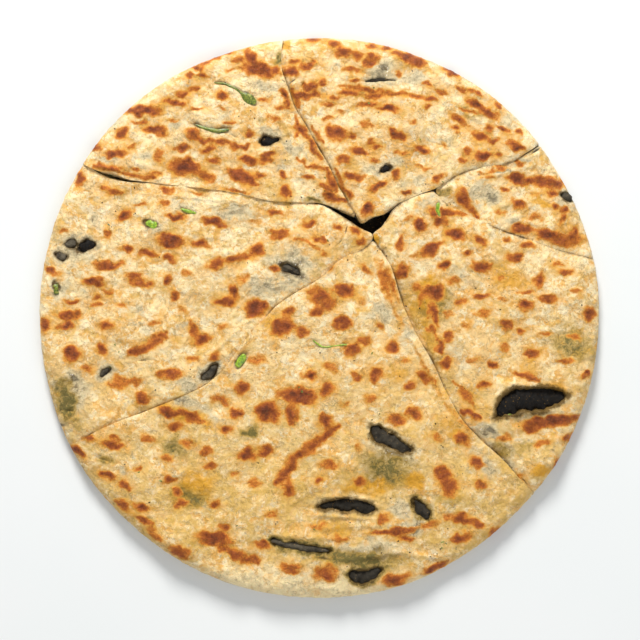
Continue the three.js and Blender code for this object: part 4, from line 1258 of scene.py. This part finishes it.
            ("film", -75, 40, 10, 6, 0, 0.35), ("olive", 0, 22, 10, 6, 30, 0.35),
            ("film", -104, 46, 8, 8, 0, 0.4), ("film", -84, 3, 9, 6, 0, 0.4),
            ("film", -60, -32, 16, 5, -28, 0.5)],
        "folds": [
            (-84, -20, -78, -20, 0.6, -0.7), (-104, 43, -104, 46, 0.6, -0.7),
            (-117, -43, -112, -43, 0.6, -0.7), (-30, 52, -90, 58, 0.9, 0.2), (10, 47, 22, 38.5, 0.6, 0.3),
            (-20, 8, -60, -26, 1.2, 0.3), (-122, -50, -116, -50, 1.2, -0.7),
            (12, 37.5, 13.5, 42.5, 0.5, -0.9), (8, 32, 12, 37.5, 0.5, -0.6), (-26, 16, -20, 15, 0.5, 0.35),
            (-22, 13, -18, 14, 0.4, 0.35), (-24, 18, -19, 18, 0.4, 0.3)],
    },
    "wedge_front": {
        "name": "frontWedge", "seed": 51, "from": "lowerLeft", "to": "lowerRight", "lift": 0.7,
        "grid": 0.54,
        "tip": [(26.5, 33.5), (25, 35.2), (23.6, 33), (20, 30.2)],
        "swells": [
            (4, 2, 22, 1), (-2, -48, 24, 0.7), (34, -66, 13, 1), (16, -92, 14, -0.8), (-50, -62, 18, -0.6),
            (-60, -98, 22, 0.7), (62, -76, 15, 0.8), (16, -112, 16, 0.5), (31, 8, 7, -0.9)],
        "spots": [
            (11, 12, 10, 4.6, -10, 0.95), (2, 7, 10, 7.5, -20, 0.8), (-1, 2, 4, 3, 0, 0.75),
            (-14, 2, 5, 3.8, 0, 0.85), (-17, -5, 10, 7.5, 0, 0.85), (-7, -6.5, 6, 4, 0, 0.8),
            (11, -2.5, 8, 4.8, 0, 0.9), (28, -4, 3.4, 3, 0, 0.6), (5, 23, 5, 3, 40, 0.8),
            (22, 22, 3, 6, 35, 0.6), (15, -15, 7, 5, -10, 1.0), (21, -11, 6, 3.4, 0, 0.8),
            (34, -14, 4.4, 5, 25, 0.9), (-4, -27, 6, 4, 0, 0.85), (4, -33, 5.4, 6, 0, 0.95),
            (-10, -36, 17, 8, -5, 0.85), (-7, -36.5, 6, 4, 0, 0.7), (18, -27, 4, 3, 0, 0.75),
            (27, -26.5, 6, 5, 0, 0.95), (6, -23, 8, 3, -30, 0.45), (-35, -33, 6, 6, 0, 0.8),
            (-23, -44, 11, 8, 0, 0.95), (-38, -44.5, 5, 4, 0, 0.8), (-42, -52, 4, 3, 0, 0.8),
            (-33, -63, 8, 5, 15, 0.95), (-24, -62, 5, 4, 0, 0.8), (-12, -45, 4, 9, 0, 0.8),
            (3, -47.5, 5, 5, 0, 0.95), (-14, -79, 5, 7, 0, 0.95), (0, -75.5, 4, 4, 0, 0.8),
            (19, -76, 4, 3, 0, 0.75), (5, -68, 8, 3.8, 0, 0.7), (44, -44, 6, 4, -20, 0.95),
            (36, -47, 8, 5, 0, 0.7), (48, -28, 6, 3.6, -40, 0.75), (42, -31.5, 4, 3, 0, 0.7),
            (57, -72, 8, 7, -30, 0.8), (60, -78, 8, 7, -20, 0.8), (66, -56, 7, 4, -30, 0.95),
            (73, -67, 7, 4.4, -20, 0.8), (75, -77, 5, 4, 0, 0.75), (66, -102, 8, 4, 20, 0.95),
            (54, -115.5, 12, 3, 18, 0.85), (81, -99.5, 5, 3, 40, 0.75), (30, -93, 5, 3, 0, 0.75),
            (35, -99, 19, 2.4, 5, 0.85), (40, -102, 8, 2.4, 0, 0.7), (-48, -102, 14, 5, -10, 0.95),
            (-64, -108, 9, 5, -25, 0.8), (-80, -93.5, 9, 2.5, -30, 0.8), (-26, -105, 8, 3, -10, 0.75),
            (-13, -115, 9, 4.4, 0, 0.75), (3, -118, 10, 7, 0, 0.7), (35, -121, 13, 5, 12, 0.75),
            (-43, -97, 5, 3, 0, 0.75), (-48, -85.5, 5, 3, 0, 0.75), (-65, -81, 4, 3, 0, 0.75),
            (-63, -86, 5, 3, 0, 0.75), (-90, -87, 6, 3, -30, 0.8), (-81, -87, 7, 3, -10, 0.8),
            (-89, -77, 4, 4, 0, 0.8), (-98, -73, 7, 3, -25, 0.95), (-83, -70, 4, 2, 0, 0.7),
            (-111, -62, 7, 2.6, -35, 0.95), (-94, -55.5, 6, 2, -15, 0.75), (-94, -59, 10, 3, -12, 0.85),
            (-106, -56, 6, 2.4, -20, 0.8), (-62, -45, 22, 3.6, -18, 0.75), (-70, -44, 6, 3, -18, 0.8),
            (-66, -50, 6, 3, 0, 0.7), (-52, -62, 5, 3, 0, 0.75), (-50, -68.5, 5, 2, 0, 0.7),
            (-68, -75, 5, 3, 0, 0.7), (20, 8, 4, 3, 0, 0.4), (-28, -20, 8, 5, 0, 0.5),
            (-45, -38, 8, 4, -25, 0.6), (-2, 12, 7, 4, 0, 0.55), (40, -20, 4, 3, 0, 0.45),
            (24, -38, 5, 3.4, 0, 0.5), (12, -40, 5, 3, 0, 0.45), (-60, -58, 6, 4, 0, 0.5),
            (-78, -56, 7, 3, -15, 0.55), (-30, -76, 6, 4, 0, 0.5), (-22, -90, 8, 4, 0, 0.5),
            (10, -102, 9, 3, 0, 0.5), (-70, -66, 6, 3, 0, 0.5), (-38, -72, 5, 3, 0, 0.45),
            (55, -55, 6, 4, -30, 0.5), (52, -96, 8, 4, 15, 0.5), (-75, -100, 8, 3.4, -30, 0.6),
            (18, -60, 4, 3, 0, 0.4), (0, -96, 8, 3, 0, 0.45), (30, 18, 3, 5, 25, 0.45)],
        "streaks": [
            (9, -50, 3, -55, 4.4, 0.8), (3, -55, -2, -59, 4, 0.8), (-2, -59, -9, -63, 4.2, 0.75),
            (-9, -63, -14, -69, 4.4, 0.8), (-14, -69, -19, -75, 4.6, 0.8), (65, -93, 75, -96, 4, 0.85),
            (58, -92, 68, -91, 3, 0.6), (-44, -107, -28, -112.5, 5, 0.8), (29, 25, 34, 12, 2.6, 0.42),
            (32, 21, 37, 6, 2.4, 0.45), (30, 15, 38, -4, 2.6, 0.35), (26, 27, 31, 12, 2.6, 0.3),
            (44, -14, 56, -36, 2.6, 0.35), (58, -40, 68, -52, 2.6, 0.35), (-30, -9, -46, -30, 3, 0.25)],
        "patches": [
            ("olive", 32, -70, 26, 15, -20, 0.8), ("film", 27, -68, 12, 12, 0, 0.7),
            ("film", 76, -66, 16, 8, -40, 0.6), ("mustard", 43, -75, 9, 8, 0, 0.7),
            ("mustard", 22, -78, 22, 8, 0, 0.5), ("olive", 30, -112, 30, 9, -6, 0.55),
            ("film", 44, -96, 16, 8, 10, 0.8), ("film", 34, -62, 20, 10, -25, 0.8),
            ("film", 20, -110, 26, 10, -10, 0.8), ("film", -12, -106, 30, 5, -8, 0.7),
            ("film", -66, -60, 9, 8, 0, 0.7), ("olive", -66, -60, 12, 10, 0, 0.8),
            ("mustard", -66, -43, 46, 6, -22, 0.5), ("olive", -60, -82, 18, 11, 0, 0.85),
            ("olive", -32, -53, 8, 6, 0, 1), ("mustard", -55, -76, 18, 12, 0, 0.45),
            ("olive", -97, -66, 9, 4, -20, 0.6), ("film", -90, -71, 4, 4, 0, 0.6),
            ("film", 47, -90, 10, 12, 0, 0.7), ("film", 39, -88, 10, 7, 0, 0.6),
            ("olive", 16, -111, 36, 9, -10, 1.05), ("film", 24, -106, 26, 6, 0, 0.6),
            ("film", 24, -108, 22, 7, -8, 0.7), ("mustard", 62, -52, 14, 10, -50, 0.35),
            ("mustard", -66, -22, 20, 8, 0, 0.3), ("film", 30, 2, 8, 12, 10, 0.45),
            ("film", 10, -86, 32, 9, 0, 0.4), ("mustard", -20, -4, 18, 12, 0, 0.4),
            ("mustard", 4, 8, 22, 12, 0, 0.3), ("film", -62, -38, 44, 5, -25, 0.7),
            ("mustard", 36, -26, 12, 8, 0, 0.35), ("film", 40, -8, 8, 14, 20, 0.4),
            ("olive", 60, -84, 14, 8, 0, 0.4), ("mustard", 8, -98, 30, 6, 0, 0.3),
            ("olive", 14, -72, 14, 8, 0, 0.35)],
        "folds": [
            (30, 26, 38, 4, 0.55, 0.35), (27, 25, 36, 0, 0.5, 0.3), (32.5, 18, 42, -8, 0.5, 0.3),
            (24, 20, 33, -2, 0.7, 0.2), (40, -6, 58, -38, 0.7, 0.3), (-104, -64, -95, -67, 0.6, -0.6),
            (38, -2, 52, -28, 0.6, 0.25), (-20, -100, 20, -103, 1.4, 0.4), (10, -112, 40, -108, 1.2, 0.35),
            (-10, -98, 34, -95, 1.6, 0.3), (0, -82.5, 28, -84, 0.9, 0.5), (-4, -91, 26, -93, 0.9, 0.4),
            (-40, -30, -90, -47, 1.4, -0.45), (20, -46, 46, -57, 0.8, 0.35), (36, -108, 60, -112, 1.2, 0.3),
            (-2.5, -110.4, 8, -112, 0.7, -0.7), (30.5, -2.5, 33, -3.4, 0.3, -0.55)],
    },
    "wedge_right": {
        "name": "rightWedge", "seed": 58, "from": "lowerRight", "to": "right", "lift": 0.1,
        "tip": [
            (52.6, 57.9), (47.3, 56.3), (42.3, 54.3), (37.2, 51.7), (34, 49), (32.2, 45.5), (29.2, 41.2),
            (25.2, 38.4), (25.8, 35.8)],
        "swells": [
            (44, 40, 12, 0.9), (76, 20, 20, 0.7), (52, 6, 12, -0.8), (98, -36, 16, 0.9),
            (96, -56, 12, -0.6), (114, 8, 13, 0.6)],
        "spots": [
            (57, 48, 13, 4, -5, 0.95), (56, 44, 4, 4, 0, 0.85), (63, 38.5, 9, 4, -10, 0.95),
            (47, 41.5, 6, 4.6, -15, 0.95), (52, 31, 10.5, 4.6, 35, 0.95), (38, 34, 3, 7, -10, 0.85),
            (38, 21, 6, 6, 0, 1.0), (58, 23.5, 4, 4, 0, 0.85), (69, 29.5, 4, 2, 0, 0.75),
            (74, 35.5, 5, 3, -40, 0.8), (87, 35.5, 4, 2, 0, 0.75), (96, 33, 5, 2.6, 0, 0.8),
            (75, 23.5, 9, 4.2, -15, 0.95), (90, 27.5, 6, 3, 0, 0.85), (101.5, 17, 4.6, 6, 0, 0.95),
            (111, 24, 6, 1.5, 0, 0.75), (114, 20.5, 6, 1.5, 0, 0.75), (95, 12, 6, 1.5, 0, 0.75),
            (95, 5.5, 7, 3.8, 0, 0.85), (106, 8, 9, 2.8, -5, 0.85), (75, 10, 6, 2, 0, 0.75),
            (76, 1.5, 8, 3.4, 0, 0.6), (66, 8, 4, 2.4, 0, 0.7), (54, 11, 8, 6, 20, 0.85),
            (53, 1, 3.6, 9, 10, 0.85), (86.5, -4.5, 5, 3.8, 0, 0.85), (93, -7, 3, 3, 0, 0.8),
            (125, 1, 5, 5, 0, 0.8), (60, -9, 5, 3.6, 30, 0.8), (56, -14, 3, 4, 0, 0.8),
            (58, -21, 5, 3.4, 20, 0.8), (80, -22, 5, 2.5, 0, 0.85), (76, -31, 4, 3.8, 0, 0.85),
            (99, -16, 5, 3, 0, 0.8), (97, -17, 2, 1.6, 0, 1.0), (113, -20.5, 8, 2, 0, 0.55),
            (123.5, -26.5, 3, 2, 0, 0.8), (107, -48, 26, 4.6, 4, 0.85), (97, -51, 6, 4, 0, 0.8),
            (90, -75, 8, 3, 10, 0.8), (110, -67, 4, 3, -45, 0.8), (62, 17, 5, 3, 0, 0.5),
            (66, 48, 5, 2.4, -30, 0.5), (83, 18, 5, 2.4, 0, 0.5), (44, 28, 4, 3, 30, 0.4),
            (68, -4, 5, 3, 0, 0.5), (86, -14, 4, 3, 0, 0.5), (70, -20, 5, 3, 0, 0.5),
            (104, -8, 6, 2.4, 0, 0.5), (118, -9, 5, 2.4, 0, 0.5), (104, -58, 8, 3.4, 10, 0.55),
            (86, -56, 6, 3, 20, 0.5), (68, -36, 4, 4, 20, 0.55), (46, 14, 5, 4, 0, 0.5),
            (60, 2, 4, 3, 0, 0.5), (118, 12, 5, 2, 0, 0.5), (116, -56, 6, 3, 20, 0.6),
            (85, 8, 4, 2, 0, 0.4), (41, 45, 5, 2.4, 20, 0.4)],
        "streaks": [
            (90, -25, 101, -29, 2.6, 0.75), (66, -43, 74, -47, 2.6, 0.95), (46, 6, 52, 14, 3, 0.6),
            (50, -4, 56, -12, 2, 0.55), (62, -30, 72, -42, 2, 0.5)],
        "patches": [
            ("mustard", 87, 17, 20, 14, 0, 0.45), ("olive", 117, -12, 24, 15, -20, 0.7),
            ("mustard", 102, -71, 9, 8, 0, 0.8), ("film", 83, -66, 14, 16, -30, 0.95),
            ("film", 77, -53, 9, 7, 0, 1.1), ("olive", 84, -62, 12, 8, -40, 0.5),
            ("olive", 52, 8, 17, 20, 15, 0.75), ("mustard", 50, 12, 14, 16, 0, 0.5),
            ("film", 58, 8, 8, 10, 0, 0.35), ("olive", 27, 35, 5, 6, 0, 0.7),
            ("mustard", 26.6, 35.5, 4, 4, 0, 0.8), ("film", 50, 52, 12, 5, 20, 0.5),
            ("film", 66, 20, 10, 8, 0, 0.35), ("olive", 60, -30, 8, 14, 25, 0.35),
            ("film", 64, -16, 8, 14, 20, 0.4), ("olive", 95, -60, 16, 8, 10, 0.45),
            ("film", 100, -40, 36, 14, 5, 0.35), ("olive", 74, -36, 10, 8, 0, 0.3),
            ("mustard", 110, -32, 14, 6, -10, 0.4), ("mustard", 96, -22, 14, 8, 0, 0.3),
            ("mustard", 50, -8, 56, 10, -65, 0.25), ("olive", 48, -4, 46, 7, -65, 0.45),
            ("mustard", 74, -40, 20, 8, -50, 0.25)],
        "folds": [
            (93, -73, 97, -78, 0.5, -0.8), (40, 24, 50, 2, 0.9, 0.25), (84, -31, 114, -33, 1.1, 0.5),
            (86, -44.5, 112, -43, 1.0, 0.45), (44, 20, 56, -14, 1.0, 0.25), (30, 34, 38, 31, 0.5, -0.5),
            (52, -20, 64, -44, 0.8, 0.3), (57, 15, 64, 9, 0.7, 0.25), (72, -44, 96, -66, 1.2, 0.3),
            (65, 46, 66.5, 44.4, 0.6, -0.7), (118, 0, 124, -16, 1.2, -0.3)],
    },
    "wedge_upper_right": {
        "name": "upperRightWedge", "seed": 65, "from": "right", "to": "upperRight", "lift": -0.7,
        "tip": [(54.2, 58.7), (54, 57.8), (55.4, 56)],
        "swells": [(90, 52, 15, 0.7), (68, 56, 9, 0.4), (112, 44, 10, -0.4)],
        "spots": [
            (66, 55, 6, 6, -20, 0.95), (94, 63, 14, 3, -8, 0.8), (92, 64.5, 6, 3, 0, 0.8),
            (106, 62.5, 14, 5, -10, 0.85), (86, 58.5, 4, 1.5, 0, 0.75), (92, 51.5, 7, 2.8, -30, 0.85),
            (108, 57, 5, 2.4, 0, 0.8), (109.5, 51.5, 3, 2, 0, 0.95), (114, 49, 4, 2.8, 0, 0.8),
            (94, 40.5, 8, 3.6, -5, 0.95), (105, 38.5, 9, 5, -5, 1.0), (112.5, 44.5, 3, 6, -10, 0.6),
            (115, 36, 14, 6, -5, 0.7), (83, 70, 4, 2, 0, 0.6), (93, 71, 4, 2, 0, 0.6),
            (78, 64, 6, 2, 0, 0.45), (100, 46, 5, 2.4, 0, 0.5), (84, 48, 5, 2.4, -10, 0.5),
            (119, 40, 5, 3, -60, 0.7), (100, 57, 5, 2, 0, 0.4)],
        "streaks": [(66, 53, 74, 46, 2.6, 0.85), (74, 66, 86, 69, 1.4, 0.5)],
        "patches": [
            ("film", 85, 67, 13, 3, 5, 0.8), ("film", 75, 57, 15, 9, -10, 0.65),
            ("olive", 71, 47, 4, 4, 0, 0.6), ("film", 80, 54, 6, 6, 0, 0.8),
            ("mustard", 103, 52, 8, 4, 0, 0.5), ("film", 95, 72, 8, 3, 20, 0.6),
            ("film", 115, 53, 9, 8, 0, 0.5), ("olive", 57, 58, 8, 4, 20, 0.7),
            ("film", 88, 44, 9, 4, 0, 0.4)],
        "folds": [
            (78, 55, 82, 54, 1.0, -0.6), (88.6, 59, 89.6, 59, 0.5, -0.9), (97, 75, 103, 79, 0.7, -0.9),
            (70, 62, 100, 70, 0.9, 0.25), (73.5, 66, 75, 65, 0.5, -0.7), (82, 47, 108, 41, 1.4, 0.25)],
    },
}

for node, wedge in wedges.items():
    bakeWedge(node, wedge)
print("wedges ready")


cutting = {"step": 0.45, "rounding": 14, "sides": 22, "crumpleSize": 0.0019}  # how finely each slice is cut


def bentOval(node, piece, line, ground):
    # rings of points along the slice, thin at its ends and ragged at its edges
    count, sides = len(line), cutting["sides"]
    share = np.linspace(0, 1, count)
    way = np.gradient(line, axis=0)
    way /= np.hypot(*way.T)[:, None]
    swell = swellAt(piece, share, 0.55)
    seed = sum(map(ord, node))
    ripple = np.random.default_rng(seed).uniform(0, 40, 2)
    far = share * cutting["step"] * count
    rough = 0.55 if piece["wide"] > 3 else 0.25
    rings = []
    for k in range(sides):
        turn = 2 * math.pi * k / sides
        side, lift = math.cos(turn), math.sin(turn)
        edge = 1 + abs(side) * (0.6 * rough * softNoise(far, side * 1.5 + ripple[0], 3.6, seed)
                                + 0.6 * rough * softNoise(far, side * 1.5 + ripple[1], 1.3, seed + 2))
        across = side * widthAt(piece, share) / 2 * swell * edge
        dome = piece["thick"] / 2 * swell * lift * (1 - 0.75 * side * side)
        wave = rough * 0.5 * softNoise(far, side * 2.6 + ripple[1], 1.3, seed + 1)
        z = ground + piece["proud"] - piece["thick"] / 2 + dome + wave * (0.3 + 0.7 * swell)
        rings.append(np.stack([line[:, 0] + way[:, 1] * across, line[:, 1] - way[:, 0] * across, z], 1))
    faces = []
    for i in range(count - 1):
        for k in range(sides):
            here, there, onward = i * sides, (i + 1) * sides, (k + 1) % sides
            faces.append((here + k, here + onward, there + onward, there + k))
    faces += [tuple(range(sides - 1, -1, -1)), tuple((count - 1) * sides + k for k in range(sides))]
    return np.stack(rings, 1).reshape(-1, 3), faces


def turnOutwards(thing):
    shape = bmesh.new()
    shape.from_mesh(thing.data)
    bmesh.ops.recalc_face_normals(shape, faces=shape.faces)
    shape.to_mesh(thing.data)
    shape.free()


def cutSlice(node, piece):
    # one slice of filling, sunk in the skin of its wedge
    wedge = wedges[piece["wedge"]]
    line = evenLine(piece["path"], cutting["step"], cutting["rounding"])
    index, cutAway = nearest(wedge["cutRing"][:, :2], line[:, 0], line[:, 1])
    ground = easeDown(skinHeight(wedge, line[:, 0], line[:, 1], cutAway, wedge["cutRing"][index, 4]))
    co, faces = bentOval(node, piece, line, ground)
    name = "".join(w.capitalize() if i else w for i, w in enumerate(node.split("_"))) + "Slice"
    thing = meshObject(name, co, faces)
    turnOutwards(thing)
    look = piece.get("look", "mushroom")
    material = {"mushroom": mushroomMaterial, "leaf": leafMaterial, "chive": chiveMaterial}[look]
    if look == "mushroom":
        patchy = 0.5 + 0.7 * softNoise(co[:, 0], co[:, 1], 1.8, sum(map(ord, node)))
        paint(thing, "veil", np.clip(piece["veil"] * (0.6 + patchy), 0, 1))
    crumple = 0.0013 if look == "mushroom" else 0.0005
    frill.putOn(thing, size=cutting["crumpleSize"], depth=crumple, finish=material)
    bake(thing)
    finish(thing, "mushroom" if look == "mushroom" else "herb", node)


for node, piece in slices.items():
    cutSlice(node, piece)
print("slices of filling ready")

# the filling that slipped down into the torn middle
slipped = {
    "node": "filling_in_middle", "height": 3.6, "crumple": 0.0016, "crumpleSize": 0.0025,
    "outline": [(5.6, 50.5), (8.4, 48.1), (14.2, 44.3), (19.6, 40.7), (22.6, 39.4), (25, 38.6), (29, 41.6),
                (32, 45.6), (33.6, 48.8), (30.3, 47.2), (25, 46), (21.1, 43.3), (19.1, 43.2), (16.9, 46),
                (12.8, 47.6), (8.3, 49.8)],
}


def heapFilling(piece):
    # a low crumpled heap of the outline's shape
    heap = pressSlab("slippedFilling", np.array(piece["outline"]))
    co = places(heap)
    co[:, 2] *= piece["height"] / bread["slab"] * (1 - 0.25 * np.abs(softNoise(co[:, 0], co[:, 1], 3, 5)))
    setPlaces(heap, co)
    paint(heap, "veil", np.clip(0.25 * softNoise(co[:, 0], co[:, 1], 2.2, 6) - 0.05, 0, 1))
    frill.putOn(heap, size=piece["crumpleSize"], depth=piece["crumple"], finish=mushroomMaterial)
    bake(heap)
    co = places(heap)
    co[:, 2] = np.maximum(0, co[:, 2])
    setPlaces(heap, co)
    finish(heap, "mushroom", piece["node"])


heapFilling(slipped)
print("filling in the middle ready")
